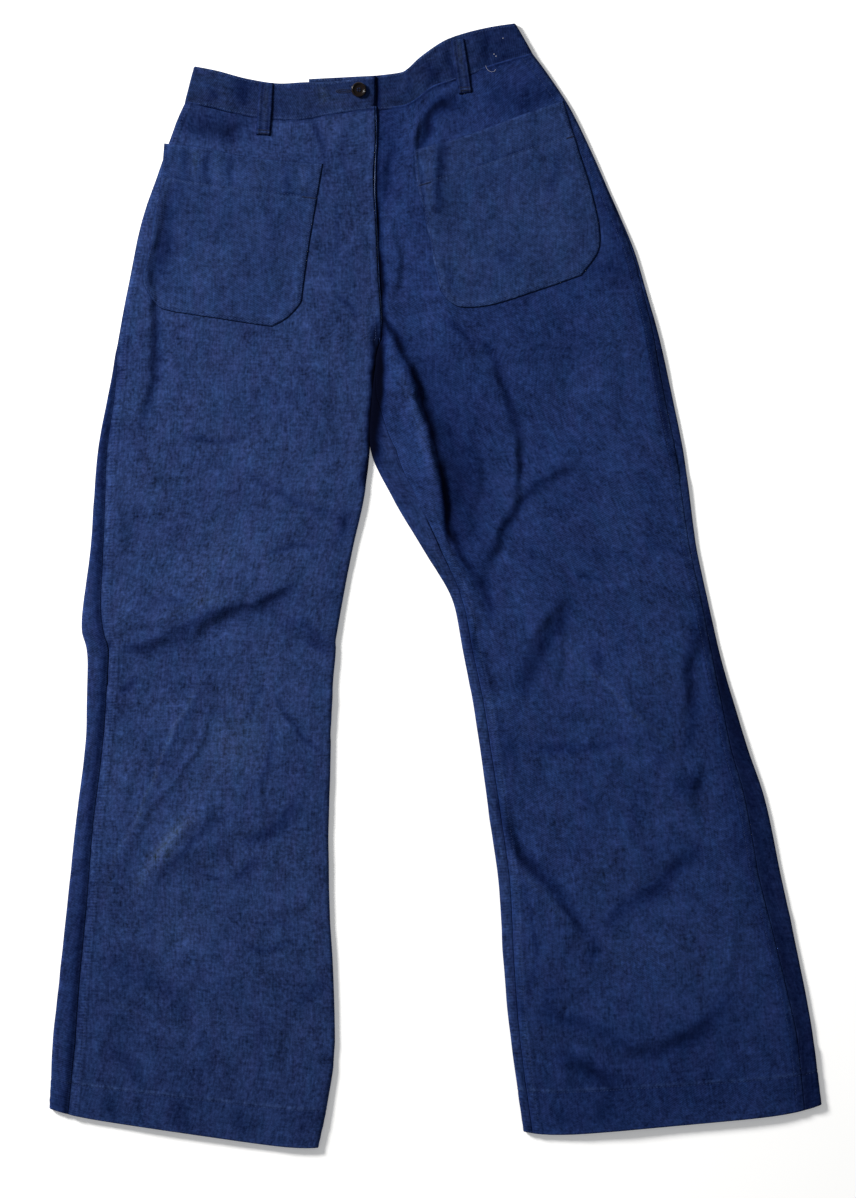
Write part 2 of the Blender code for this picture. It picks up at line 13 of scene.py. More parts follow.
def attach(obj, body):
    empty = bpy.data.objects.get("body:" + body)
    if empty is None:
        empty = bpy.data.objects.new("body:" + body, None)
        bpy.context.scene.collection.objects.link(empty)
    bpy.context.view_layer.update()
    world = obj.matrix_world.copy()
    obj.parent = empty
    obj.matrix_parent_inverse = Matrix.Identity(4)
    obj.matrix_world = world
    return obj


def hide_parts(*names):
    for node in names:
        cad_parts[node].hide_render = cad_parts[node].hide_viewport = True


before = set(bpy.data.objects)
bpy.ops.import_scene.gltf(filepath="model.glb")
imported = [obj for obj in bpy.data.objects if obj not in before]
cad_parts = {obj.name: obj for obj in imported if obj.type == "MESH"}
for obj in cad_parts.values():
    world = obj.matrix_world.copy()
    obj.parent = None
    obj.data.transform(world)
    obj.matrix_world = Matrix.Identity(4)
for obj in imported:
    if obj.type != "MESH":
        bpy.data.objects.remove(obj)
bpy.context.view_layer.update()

mm = 0.001
boardCentre = (435.5, 585.5)

cloth = {
    "halfWall": 0.6,  # the frame's cloth reaches this far out from its middle
    "wall": 1.1,
    "hemWall": 1.9,
    "sideRoll": 2.8,
    "arcPerRoll": 1.35,
    "rowPitch": 3.3,
    "backRowPitch": 5.5,
    "columnPitch": 2.5,
    "loft": 6.2,
    "innerLoft": 5.0,
    "edgeReach": 20.0,
    "flyFlat": 6.0,
    "flyReach": 15.0,
    "flyBottom": 338.0,
    "flyFade": 22.0,
    "waistFade": 60.0,
    "bandLoft": 5.2,
    "bandFade": 28.0,
    "lowest": 2.4,
    "lowestByFly": 4.4,
    "lowestByHem": 4.8,
    "hemReach": 75.0,
    "aboveFloor": 0.05,
}

# one row for each section: side edge, inner edge, where the two seams run round the section from
# those edges, the inner edge's rounding, the part that runs on under the fly, and the middle's bow
sectionColumns = ("sideX", "sideY", "innerX", "innerY", "outseam", "inseam", "roll", "lap", "bow")

rightHalf = {
    "isRight": True,
    "hemDepth": 39.0,
    "sideLoft": 5.0,
    "flyLoft": 4.8,
    "bandLoft": 6.4,
    "sections": [
        (186, 102, 375, 107, 1, 0, 0, 0, 0),
        (175, 125, 375.5, 138, 1, 0, 0, 0, 0),
        (157, 175, 373.5, 180, 1, 0, 0, 0, 0),
        (140, 225, 376, 226, 1, 0, 0, 0, 0),
        (130, 275, 378, 275, 1, 0, 0, 0, 0),
        (121, 320, 381, 318, 1, 0, 0, 0, 0),
        (117, 345, 380, 340, 2, 0, 0, 0, 0),
        (115, 355, 378.5, 352, 3, 0, 4, 0, 0),
        (112.5, 375, 375.5, 372, 5, 2, 6, 0, 0),
        (108, 400, 373.5, 400, 7, 5, 7, 0, 0),
        (98, 450, 370.5, 448, 10, 6, 6, 0, 0),
        (94, 500, 364, 497, 12, 6, 4, 0, 0),
        (91, 550, 352.5, 550, 13, 6, 3, 0, 0),
        (84, 600, 343, 600, 18, 6, 3, 0, 0),
        (82.5, 630, 337, 634, 22, 6, 3, 0, 0),
        (87.5, 652, 335.5, 656, 22, 6, 3, 0, 0),
        (87, 700, 332, 700, 20, 6, 3, 0, 0),
        (85, 750, 331, 752, 18, 6, 3, 0, 0),
        (76, 825, 328.5, 832, 18, 6, 3, 0, 0),
        (68, 900, 330, 912, 20, 6, 3, 0, 0),
        (60, 975, 334, 992, 21, 6, 3, 0, 0),
        (53.5, 1040, 333.5, 1064, 23, 6, 3, 0, 2),
        (50, 1108, 318, 1147, 19, 6, 3, 0, 5),
    ],
    # the waistband's ribs from the side edge to the fly: lower end, upper end
    "ribs": [
        (186, 102, 195, 67),
        (213, 106, 218, 71.5),
        (241, 113, 246, 79),
        (276, 118, 277, 84),
        (304, 118, 304, 83),
        (337, 112, 336, 82),
        (375, 107, 376, 77),
    ],
    # points along each fold, its width, how far its line rises, and how far it drops across
    "folds": [
        ([(250, 112), (220, 124), (188, 138)], 13, 0, 1.4),
        ([(163, 185), (156, 240), (155, 310), (150, 390), (133, 435)], 8, 0, 1.8),
        ([(245, 438), (212, 439), (178, 437)], 5, 0, 1.1),
        ([(345, 525), (290, 500), (235, 465)], 9, 0, 1.0),
        ([(310, 545), (255, 548)], 7, 0, 0.7),
        ([(302, 585), (240, 610), (180, 640), (104, 660)], 12, 0, 3.2),
        ([(333, 652), (290, 630)], 7, 0, 1.6),
        ([(325, 745), (300, 720), (250, 700)], 8, 0, 1.1),
        ([(215, 650), (190, 720), (150, 790), (98, 915)], 10, 1.5, 0.4),
        ([(300, 800), (270, 830), (228, 836)], 10, 0, 1.9),
        ([(242, 882), (210, 860), (175, 865), (146, 890)], 9, 0, 1.5),
        ([(160, 1028), (140, 1002), (85, 990)], 11, 0, 1.1),
    ],
    # small creases that only the cloth's own face has
    "creases": [
        ([(299, 796), (284, 818), (266, 831), (240, 841)], 6, 0, -0.9),
        ([(332, 650), (300, 622), (274, 625)], 6, 0, -0.6),
        ([(349, 306), (361, 322)], 2.5, 0, 0.5),
        ([(330, 300), (343, 322), (352, 345)], 5, 0, 0.5),
        ([(225, 380), (215, 410), (212, 432)], 7, 0.4, 0),
        ([(118, 690), (160, 715), (195, 700)], 7, 0, 0.6),
        ([(262, 690), (284, 712), (300, 735)], 5, 0, 0.6),
        ([(196, 790), (206, 812), (200, 830)], 5, 0.5, 0),
        ([(186, 852), (212, 842), (232, 856)], 4, 0, 0.6),
        ([(120, 900), (150, 935), (190, 950)], 10, 0, 0.5),
        ([(250, 930), (230, 985), (262, 1040)], 12, 0.5, 0.3),
        ([(118, 1010), (104, 1050), (110, 1090)], 6, 0.5, 0.4),
        ([(300, 522), (270, 506), (232, 497)], 4, 0, 0.5),
        ([(86, 672), (108, 690), (130, 700)], 5, 0, 0.8),
        ([(180, 636), (150, 628), (118, 634)], 6, 0, 0.6),
        ([(214, 700), (196, 742), (158, 800), (122, 862)], 2.6, 0.9, 0.2),
        ([(272, 765), (262, 790), (276, 812)], 6, 0, 0.5),
        ([(140, 760), (128, 800), (136, 840)], 8, 0, 0.6),
        ([(214, 812), (188, 822), (152, 872)], 5, 0.7, 0.3),
        ([(312, 900), (290, 915), (262, 908)], 6, 0, 0.5),
        ([(208, 955), (180, 1000), (190, 1060)], 9, 0, 0.6),
        ([(300, 1010), (280, 1050), (292, 1100)], 7, 0, 0.4),
        ([(120, 470), (126, 520), (116, 570)], 8, 0, 0.6),
        ([(300, 350), (330, 400), (322, 460)], 10, 0, 0.5),
        ([(190, 340), (178, 372), (186, 410)], 10, 0, 0.4),
    ],
    # painted shade, and paler patches of painted light, where the cloth is drawn darker or paler: middle,
    # reach across and down, turn, how much
    "shadeTones": [
        (190, 1090, 220, 80, 6, -0.07),
        (222, 128, 36, 15, 10, -0.33),
        (200, 120, 26, 15, 8, -0.20),
        (342, 528, 6, 13, 10, -0.34),
        (166, 845, 10, 40, 37, 0.23),
        (230, 745, 30, 46, 30, 0.17),
        (220, 560, 90, 30, -8, 0.06),
        (112, 1108, 8, 12, -20, -0.25),
        (183, 1118, 7, 12, -15, -0.22),
        (243, 1122, 6, 14, -5, -0.20),
        (300, 1128, 6, 12, 0, -0.12),
        (200, 1118, 170, 34, 6, -0.10),
        (220, 984, 3, 7, 10, -0.20),
        (100, 1000, 40, 60, 0, -0.07),
        (180, 930, 40, 24, 0, 0.06),
        (310, 200, 70, 110, 0, -0.06),
    ],
    # painted shade along folds, gaps and edges, and paler strokes of painted highlight along ridges: points
    # drawn downwards, reach to the left and to the right, how much
    "shadeStrokes": [
        # a painted deep shadow, near black, in the gap between the legs
        ([(375, 316), (374.5, 372), (373.5, 400), (370.5, 440), (364, 490)], 3.6, 6.0, -1.6),
        ([(246, 116), (232, 128), (222, 142)], 3, 7, -0.22),
        ([(309, 118), (320, 140), (325, 164)], 2.5, 5, -0.30),
        ([(312, 117), (296, 121)], 2, 3, -0.35),
        ([(336, 200), (337, 230), (336, 258)], 1.6, 2.2, -0.20),
        ([(345, 130), (343, 180)], 3, 4, -0.10),
        ([(328, 262), (334, 292)], 2, 4, -0.14),
        ([(336, 298), (348, 308), (359, 320)], 2, 3.2, -0.36),
        ([(149, 282), (155, 310), (156, 350), (152, 390), (140, 432)], 3, 6, -0.40),
        ([(128, 300), (124, 350), (118, 400)], 4, 5, -0.10),
        ([(243, 438), (210, 440), (180, 437)], 1.6, 2.8, -0.26),
        ([(345, 528), (328, 512), (300, 503), (270, 488), (237, 468)], 3.5, 4.5, -0.22),
        ([(320, 545), (295, 546), (266, 551)], 1.8, 2.8, -0.36),
        ([(298, 582), (278, 592), (253, 603), (232, 606), (212, 612), (190, 624), (160, 636), (118, 648)],
         2.4, 14, -0.33),
        ([(294, 584), (272, 596), (248, 605)], 1.8, 3.8, -0.30),
        ([(252, 603), (208, 614)], 1.4, 3.4, -0.22),
        ([(156, 642), (120, 649)], 2.4, 6, -0.24),
        ([(245, 592), (200, 604), (150, 626)], 7, 3, 0.11),
        ([(191, 605), (170, 598), (146, 599)], 2, 4, -0.12),
        ([(333, 650), (318, 638), (300, 622), (274, 625)], 4, 8, -0.26),
        ([(331, 654), (318, 647), (304, 640)], 1.6, 2.6, -0.30),
        ([(140, 677), (130, 684), (119, 695)], 2.6, 4.2, -0.35),
        ([(216, 658), (195, 693), (174, 727), (160, 760), (149, 789), (132, 831), (116, 856), (105, 900)],
         1.7, 1.7, 0.30),
        ([(206, 690), (170, 750), (142, 812)], 8, 1, -0.11),
        ([(262, 704), (270, 740), (262, 780), (240, 800)], 2, 5, -0.16),
        ([(208, 812), (180, 830), (158, 856), (140, 886)], 5, 2, 0.16),
        ([(236, 812), (216, 822), (202, 836)], 2, 3.5, -0.18),
        ([(266, 681), (252, 700), (244, 720)], 2, 4, -0.16),
        ([(272, 694), (284, 712), (295, 727), (308, 742), (326, 754)], 2, 3, -0.28),
        ([(244, 700), (220, 712), (200, 708)], 3, 5, -0.10),
        ([(299, 796), (284, 818), (266, 831), (240, 841)], 3, 9, -0.42),
        ([(262, 858), (246, 868), (232, 880)], 4, 6, -0.28),
        ([(216, 810), (204, 826), (195, 836), (174, 860), (158, 884)], 1.6, 3.6, -0.28),
        ([(230, 881), (210, 876), (188, 861)], 2, 4, -0.17),
        ([(224, 868), (205, 861), (190, 868)], 2, 3, 0.13),
        ([(98, 958), (130, 972), (167, 990), (190, 1020)], 9, 13, -0.18),
        ([(98, 990), (120, 1004), (146, 1019)], 1.6, 1.6, 0.16),
        ([(104, 1046), (125, 1062), (146, 1088)], 6, 8, -0.20),
        ([(302, 927), (275, 921), (250, 925)], 2, 3, -0.19),
        ([(300, 935), (273, 948), (250, 944), (237, 936)], 2, 4, -0.21),
        ([(326, 976), (310, 990), (296, 1006)], 6, 9, -0.16),
        ([(140, 905), (150, 925), (146, 948)], 3, 5, -0.13),
        ([(190, 1020), (205, 1050), (200, 1090)], 5, 7, -0.10),
        ([(265, 1010), (258, 1050), (262, 1090)], 6, 8, -0.10),
    ],
}

leftHalf = {
    "isRight": False,
    "hemDepth": 43.5,
    "sideLoft": 3.2,
    "flyLoft": 2.8,
    "bandLoft": 3.9,
    "sections": [
        (532, 54, 377, 108, 2, 0, 0, 12, 0),
        (549, 76, 377.5, 128, 2, 0, 0, 12, 0),
        (570, 108, 377, 152, 2, 0, 0, 12, 0),
        (591, 150, 376.5, 185, 2, 0, 0, 12, 0),
        (613, 200, 377, 222, 3, 0, 0, 12, 0),
        (634, 250, 379, 262, 3, 0, 0, 12, 0),
        (648, 297, 381, 300, 4, 0, 0, 10, 0),
        (656, 325, 382.5, 322, 5, 0, 0, 4, 0),
        (661, 345, 380.5, 340, 6, 0, 0, 0, 0),
        (665, 362, 376.5, 358, 7, 0, 4, 0, 0),
        (673, 400, 371.5, 398, 8, -7, 6, 0, 0),
        (683, 450, 370.8, 450, 8, -27, 5, 0, 0),
        (690, 500, 394, 500, 8, -25, 3, 0, 0),
        (697, 550, 424, 550, 7, -17, 3, 0, 0),
        (708, 600, 452, 598, 7, -10, 3, 0, 0),
        (719, 650, 463, 650, 8, -10, 3, 0, 0),
        (733, 700, 473, 702, 12, -11, 3, 0, 0),
        (748, 750, 481, 754, 17, -11, 3, 0, 0),
        (765, 800, 488, 806, 20, -12, 3, 0, 0),
        (781, 875, 498.5, 882, 23, -12, 3, 0, 0),
        (797, 950, 503.5, 960, 20, -11, 3, 0, 0),
        (812, 1030, 511, 1042, 16, -10, 3, 0, 3),
        (821, 1104, 524, 1131, 17, -9, 3, 0, 8),
    ],
    "ribs": [
        (532, 54, 515, 24),
        (499, 63, 489, 28),
        (473, 72, 464, 34),
        (452, 80, 443, 42),
        (432, 87, 421, 57),
        (415, 100, 408, 69),
        (402, 106, 400, 73),
        (377, 108, 377, 76),
    ],
    "folds": [
        ([(480, 68), (455, 95), (430, 115), (414, 152)], 8, 0, 2.0),
        ([(387, 145), (391, 212)], 8, 0, 1.2),
        ([(444, 145), (438, 240)], 10, 0, 1.3),
        ([(397, 338), (409, 370), (426, 416), (436, 481), (452, 572)], 10, 2.0, 3.4),
        ([(488, 357), (500, 385), (521, 450), (504, 530), (479, 582)], 9, 0, 2.6),
        ([(592, 464), (550, 480), (516, 496)], 9, 0, 2.0),
        ([(468, 582), (491, 618)], 8, 0, 1.6),
        ([(578, 588), (545, 620), (530, 660), (519, 702)], 12, 0, 2.0),
        ([(590, 660), (630, 703), (672, 752)], 7, 1.3, 0),
        ([(702, 618), (690, 660), (688, 720), (682, 765)], 12, 0, 1.5),
        ([(655, 380), (665, 440), (681, 482)], 11, 0, 1.5),
        ([(525, 868), (551, 907), (583, 933), (602, 946)], 8, 0, 2.3),
        ([(692, 848), (638, 892)], 14, 0, 1.9),
        ([(712, 1018), (640, 1047), (600, 1050), (538, 1018)], 14, 0, 2.0),
    ],
    "creases": [
        ([(385, 322), (397, 340), (411, 371), (425, 407), (434, 440), (440, 475), (445, 521), (456, 560)],
         6, 0.5, 1.15),
        ([(567, 592), (545, 645), (524, 700)], 9, 0, 0.4),
        ([(703, 614), (688, 660), (686, 720)], 8, 0, 0.3),
        ([(498, 800), (518, 856), (550, 888), (586, 936)], 6, 0, 1.0),
        ([(450, 315), (490, 345)], 5, 0, 0.7),
        ([(640, 268), (600, 280)], 5, 0, 0.5),
        ([(420, 118), (417, 150), (422, 190)], 5, 0, 0.7),
        ([(404, 240), (398, 300), (410, 330)], 7, 0, 0.5),
        ([(430, 380), (470, 400), (510, 410)], 9, 0, 0.6),
        ([(470, 430), (478, 480), (470, 540)], 9, 0, 0.8),
        ([(555, 560), (590, 585), (640, 575)], 8, 0, 0.7),
        ([(520, 740), (560, 752), (590, 740)], 7, 0, 0.6),
        ([(672, 752), (690, 782), (712, 800)], 6, 0, 0.8),
        ([(560, 800), (545, 850), (560, 890)], 10, 0.4, 0.3),
        ([(742, 900), (728, 960), (735, 1030)], 9, 0.5, 0.3),
        ([(530, 990), (560, 1045), (572, 1085)], 8, 0, 0.6),
        ([(452, 315), (474, 352), (500, 372)], 6, 0, 0.6),
        ([(536, 330), (560, 372), (556, 420)], 12, 0, 0.6),
        ([(600, 330), (622, 372), (618, 430)], 12, 0, 0.5),
        ([(470, 600), (478, 650), (492, 700)], 7, 0, 0.8),
        ([(622, 540), (652, 560), (676, 548)], 8, 0, 0.5),
        ([(560, 612), (566, 650), (552, 690)], 5, 0, 0.5),
        ([(588, 655), (628, 700), (668, 748)], 2.4, 0.8, 0),
        ([(700, 760), (694, 800), (706, 840)], 7, 0, 0.8),
        ([(620, 760), (600, 800), (612, 850)], 9, 0, 0.5),
        ([(505, 800), (515, 842), (548, 884)], 6, 0, 0.7),
        ([(530, 872), (560, 908), (600, 944)], 2.6, 0, 0.9),
        ([(650, 930), (690, 960), (705, 1000)], 9, 0, 0.6),
        ([(600, 975), (570, 1000), (560, 1040)], 8, 0, 0.6),
        ([(640, 1060), (700, 1072), (752, 1052)], 8, 0, 0.5),
        ([(520, 1050), (548, 1062), (580, 1050)], 6, 0, 0.6),
        ([(392, 230), (402, 262), (396, 292)], 5, 0, 0.7),
        ([(388, 300), (410, 318), (440, 322)], 6, 0, 0.6),
        ([(610, 180), (622, 220), (630, 262)], 7, 0, 0.6),
    ],
    # painted shade and painted light, as on the right half; the first two darken the whole hip and thigh,
    # and the hem
    "shadeTones": [
        (530, 250, 170, 300, 0, -0.09),
        (660, 1080, 200, 80, -6, -0.08),
        (444, 106, 13, 9, -15, -0.34),
        (528, 88, 38, 20, -28, -0.20),
        (542, 102, 24, 6, -20, -0.22),
        (498, 100, 16, 8, -20, -0.12),
        (618, 225, 11, 62, -18, -0.20),
        (468, 482, 17, 34, -8, -0.13),
        (597, 662, 8, 11, 0, -0.20),
        (518, 1008, 6, 10, 0, -0.22),
        (692, 782, 10, 14, 20, -0.28),
        (676, 790, 6, 8, 0, -0.20),
        (660, 762, 6, 8, 0, -0.16),
        (586, 800, 8, 22, -8, -0.12),
        (640, 650, 50, 60, 0, 0.06),
        (620, 960, 90, 60, 0, 0.04),
        (670, 1090, 170, 34, -6, -0.10),
        (600, 390, 36, 50, 0, 0.04),
        (735, 830, 12, 60, -12, -0.12),
    ],
    # painted shade along folds, gaps and edges, and paler painted highlights, as on the right half
    "shadeStrokes": [
        # a painted deep shadow, near black, in the gap between the legs
        ([(376, 316), (375.5, 360), (374.5, 400), (371.5, 440), (366, 496)], 6.0, 8.0, -1.7),
        ([(381, 335), (381, 370), (380.5, 400)], 3, 4, -0.40),
        # a painted shadow down the fly's edge
        ([(376.5, 92), (375.5, 150), (376, 200), (378, 250), (381, 305), (382, 338)], 4, 4.2, -1.05),
        ([(384, 96), (386, 150), (384, 215)], 6, 12, -0.26),
        ([(394, 142), (388, 170), (386, 202)], 2.6, 4, -0.26),
        ([(458, 101), (440, 104), (430, 113), (424, 130), (421, 146), (412, 156)], 3.4, 6.4, -0.52),
        ([(446, 318), (462, 334), (478, 350)], 3, 4, -0.27),
        ([(622, 268), (604, 268), (587, 271)], 3, 6, -0.20),
        ([(638, 288), (647, 320), (652, 348), (660, 395), (668, 440), (677, 474)], 5, 12, -0.40),
        ([(382, 320), (391, 332), (397, 340), (411, 371), (425, 407), (434, 440), (440, 475), (445, 521),
          (456, 553), (475, 580), (492, 616)], 2.0, 5.0, -0.46),
        ([(383, 316), (390, 330), (399, 346), (410, 368)], 1.6, 3.6, -0.50),
        ([(436, 464), (443, 500), (449, 528), (460, 556), (474, 580)], 2.0, 6, -0.42),
        ([(396, 340), (425, 400), (440, 440), (448, 490), (456, 530), (474, 574)], 5, 30, -0.40),
        ([(386, 342), (402, 375), (415, 405), (424, 440), (430, 470), (436, 520)], 5, 2.5, 0.14),
        ([(487, 343), (497, 368), (505, 390), (509, 405), (515, 430), (521, 452)], 3, 5, -0.38),
        ([(522, 450), (520, 475), (512, 492)], 2, 4, -0.22),
        ([(579, 463), (552, 475), (534, 486), (520, 503), (506, 525), (490, 553), (476, 584)], 4, 6, -0.30),
        ([(538, 484), (520, 503), (506, 524)], 2.5, 3.5, -0.18),
        ([(474, 338), (484, 345), (493, 353)], 2, 3, -0.20),
        ([(567, 592), (562, 622), (545, 645), (532, 668), (523, 700)], 11, 7, -0.36),
        ([(608, 580), (590, 578), (573, 573)], 1.6, 2.6, -0.20),
        ([(563, 646), (590, 672), (620, 700), (655, 732), (686, 759)], 1.6, 1.6, 0.20),
        ([(703, 614), (690, 640), (686, 672), (692, 700), (690, 725), (683, 758)], 4.5, 9, -0.32),
        ([(702, 626), (716, 660), (725, 694), (743, 739), (758, 784)], 7, 15, -0.24),
        ([(645, 543), (668, 550), (692, 552)], 3, 4, -0.15),
        ([(530, 542), (531, 568)], 3, 4, -0.17),
        ([(478, 576), (484, 592), (492, 620)], 5, 6, -0.38),
        ([(464, 606), (478, 660), (492, 694)], 5, 7, -0.20),
        ([(495, 712), (505, 745), (499, 774)], 5, 6, -0.20),
        ([(497, 796), (505, 828), (518, 856), (533, 872), (550, 888), (568, 912), (588, 938)],
         2.6, 9, -0.48),
        ([(498, 846), (515, 867), (540, 892), (572, 928)], 1.6, 1.6, 0.13),
        ([(701, 844), (682, 860), (666, 876), (648, 892), (622, 908), (596, 930)], 6, 9, -0.38),
        ([(590, 932), (594, 948), (589, 966)], 5, 6, -0.25),
        ([(521, 876), (532, 925), (534, 960), (529, 996)], 2, 3, -0.20),
        ([(532, 1013), (560, 1020), (582, 1024), (610, 1036), (645, 1053)], 8, 8, -0.30),
        ([(732, 989), (716, 1014), (694, 1032), (664, 1046), (638, 1053)], 8, 10, -0.34),
        ([(554, 1053), (578, 1062), (600, 1078), (618, 1094)], 7, 8, -0.38),
        ([(600, 1095), (606, 1124)], 7, 8, -0.16),
        ([(560, 1100), (566, 1128)], 4, 6, -0.12),
        ([(520, 700), (512, 740), (520, 780)], 5, 6, -0.12),
        ([(640, 560), (600, 552), (570, 556)], 5, 6, -0.10),
        ([(600, 610), (620, 640), (612, 670)], 5, 7, -0.10),
        ([(640, 780), (632, 820), (640, 850)], 6, 8, -0.10),
        ([(514, 742), (545, 750), (590, 747), (640, 741)], 4, 6, -0.27),
        ([(560, 980), (548, 1000), (552, 1030)], 6, 8, -0.16),
    ],
}

underlap = {"endX": 309, "seamY": 114.5, "topY": 79.5, "slope": 6.5 / 68.0}


# curves, and the form that the frame's cloth has, for whole arrays of points

def ease(value):
    value = np.clip(value, 0.0, 1.0)
    return value * value * (3.0 - 2.0 * value)


def mixed(a, b, share):
    return a + (b - a) * share


def bump(distance, width):
    return np.exp(-(distance / width) ** 2)


def onBoard(x, y, height):
    place = np.broadcast_arrays((x - boardCentre[0]) * mm, (boardCentre[1] - y) * mm, height * mm)
    return np.stack(place, -1)


def boardPlace(point):
    return point[..., 0] / mm + boardCentre[0], boardCentre[1] - point[..., 1] / mm


def curveThrough(points, place):
    # a smooth curve through the points, which are one step apart
    points = np.asarray(points, float)
    place = np.asarray(place, float)
    last = len(points) - 1
    span = np.clip(np.floor(place).astype(int), 0, last - 1)
    part = (place - span)[..., None]
    before = points[np.maximum(span - 1, 0)]
    start = points[span]
    end = points[span + 1]
    after = points[np.minimum(span + 2, last)]
    bend = 2 * before - 5 * start + 4 * end - after
    twist = 3 * (start - end) + after - before
    return start + 0.5 * part * (end - before + part * (bend + part * twist))


def summed(steps):
    return np.concatenate(([0.0], np.cumsum(steps)))


def rowsAt(wanted, travelled, table):
    return np.stack([np.interp(wanted, travelled, column) for column in table.T], -1)


def evenCurve(points, count):
    # the same curve in steps of equal length
    spans = len(points) - 1
    line = curveThrough(points, np.linspace(0, spans, 24 * spans + 1))
    travelled = summed(np.hypot(*np.diff(line[:, :2], axis=0).T))
    wanted = np.linspace(0, travelled[-1], count) if np.isscalar(count) else count * travelled[-1]
    return rowsAt(wanted, travelled, line)


def softNoise(x, y, size, seed):
    # seeded random lumps about this size, between -1 and 1
    lattice = np.random.default_rng(seed).uniform(-1, 1, (97, 97))
    u = x / size + 11.3
    v = y / size + 7.1
    i = np.floor(u).astype(int)
    j = np.floor(v).astype(int)
    s = ease(u - i)
    t = ease(v - j)
    upper = mixed(lattice[i % 97, j % 97], lattice[(i + 1) % 97, j % 97], s)
    lower = mixed(lattice[i % 97, (j + 1) % 97], lattice[(i + 1) % 97, (j + 1) % 97], s)
    return mixed(upper, lower, t)


def besideLine(points, x, y):
    # how far to a curve's right a place lies, when the curve is drawn downwards, and how far along
    line = curveThrough(points, np.arange(5 * (len(points) - 1) + 1) / 5)
    steps = len(line) - 1
    nearest = np.full(x.shape, 1e9)
    side = np.ones(x.shape)
    progress = np.zeros(x.shape)
    for step in range(steps):
        startX, startY = line[step]
        runX, runY = line[step + 1] - line[step]
        awayX = x - startX
        awayY = y - startY
        along = np.clip((awayX * runX + awayY * runY) / (runX ** 2 + runY ** 2), 0, 1)
        gapX = awayX - runX * along
        gapY = awayY - runY * along
        distance = np.hypot(gapX, gapY)
        closer = distance < nearest
        nearest = np.where(closer, distance, nearest)
        side = np.where(closer, np.where(gapX * runY - gapY * runX > 0, 1.0, -1.0), side)
        progress = np.where(closer, (step + along) / steps, progress)
    return side * nearest, progress


def nearCurve(points, reach, x, y):
    xs = [point[0] for point in points]
    ys = [point[1] for point in points]
    near = (x > min(xs) - reach) & (x < max(xs) + reach)
    return near & (y > min(ys) - reach) & (y < max(ys) + reach)


def foldHeight(fold, x, y):
    points, width, ridge, drop = fold
    beside, progress = besideLine(points, x, y)
    across = beside / width
    taper = np.sin(np.pi * np.clip(progress, 0, 1)) ** 0.6
    return taper * np.exp(-0.5 * across ** 2) * (ridge - drop * across * math.exp(0.5))


def foldsHeight(folds, x, y):
    total = np.zeros(x.shape)
    for fold in folds:
        near = nearCurve(fold[0], 4 * fold[1], x, y)
        if near.any():
            total[near] += foldHeight(fold, x[near], y[near])
    return total


def sectionAt(half, place):
    table = np.array(half["sections"], float)
    edges = curveThrough(table[:, :4], place)
    rows = np.arange(len(table))
    section = {name: edges[..., index] for index, name in enumerate(sectionColumns[:4])}
    for index, name in enumerate(sectionColumns[4:]):
        section[name] = np.interp(place, rows, table[:, index + 4])
    return section


def downAt(half, place):
    # how far down the leg a row lies, along the cloth
    table = np.array(half["sections"], float)
    sides = np.hypot(*np.diff(table[:, 0:2], axis=0).T)
    inners = np.hypot(*np.diff(table[:, 2:4], axis=0).T)
    travelled = summed((sides + inners) / 2)
    return np.interp(place, np.arange(len(table)), travelled), travelled


def ribAt(half, share):
    return curveThrough(half["ribs"], share * (len(half["ribs"]) - 1))


def planPoint(half, section, share):
    waist = half["sections"][0]
    inside = np.clip(share, 0, 1)
    rib = ribAt(half, inside)
    fade = np.exp(-((section["sideY"] - waist[1]) / cloth["waistFade"]) ** 2)
    x = mixed(section["sideX"], section["innerX"], share)
    y = mixed(section["sideY"], section["innerY"], share)
    y = y + section["bow"] * (1 - (2 * inside - 1) ** 6)
    x = x + fade * (rib[..., 0] - mixed(waist[0], waist[2], inside))
    y = y + fade * (rib[..., 1] - mixed(waist[1], waist[3], inside))
    return x, y


def bandHeight(half, share):
    start = 0.45 if half["isRight"] else 0.7
    return mixed(cloth["bandLoft"], half["bandLoft"], ease((share - start) / 0.2))


def topHeight(half, section, share, x, y):
    width = abs(section["innerX"] - section["sideX"])
    fromSide = np.maximum(0, share * width - cloth["sideRoll"])
    fromInner = np.maximum(0, (1 - share) * width - section["roll"])
    atSide = mixed(half["sideLoft"], cloth["loft"], 1 - np.exp(-fromSide / cloth["edgeReach"]))
    atInner = mixed(cloth["innerLoft"], cloth["loft"], 1 - np.exp(-fromInner / cloth["edgeReach"]))
    leg = np.minimum(atSide, atInner)
    rise = 1 - np.exp(-np.maximum(0, fromInner - cloth["flyFlat"]) / cloth["flyReach"])
    hip = mixed(half["flyLoft"], leg, rise)
    height = mixed(hip, leg, ease((section["innerY"] - cloth["flyBottom"]) / cloth["flyFade"]))
    height = height + 0.35 * np.sin(x / 23 + y / 61) + 0.35 * np.sin(-x / 70 + y / 37)
    height = height + foldsHeight(half["folds"], x, y)
    belowWaist = section["innerY"] - half["sections"][0][3]
    height = mixed(height, bandHeight(half, share), np.exp(-(belowWaist / cloth["bandFade"]) ** 2))
    lowest = np.full(height.shape, cloth["lowest"])
    if half["isRight"]:
        lowest = np.where(section["innerY"] < cloth["flyBottom"], cloth["lowestByFly"], lowest)
    aboveHem = half["sections"][-1][3] - section["innerY"]
    lowest = np.where(aboveHem < cloth["hemReach"], cloth["lowestByHem"], lowest)
    return np.maximum(lowest, height)


def innerGap(section):
    return np.where(section["roll"] > 0, cloth["halfWall"], 0.0)


def wayLength(section):
    width = abs(section["innerX"] - section["sideX"]) - cloth["halfWall"] - innerGap(section)
    return width + (cloth["arcPerRoll"] - 1) * (cloth["sideRoll"] + section["roll"])


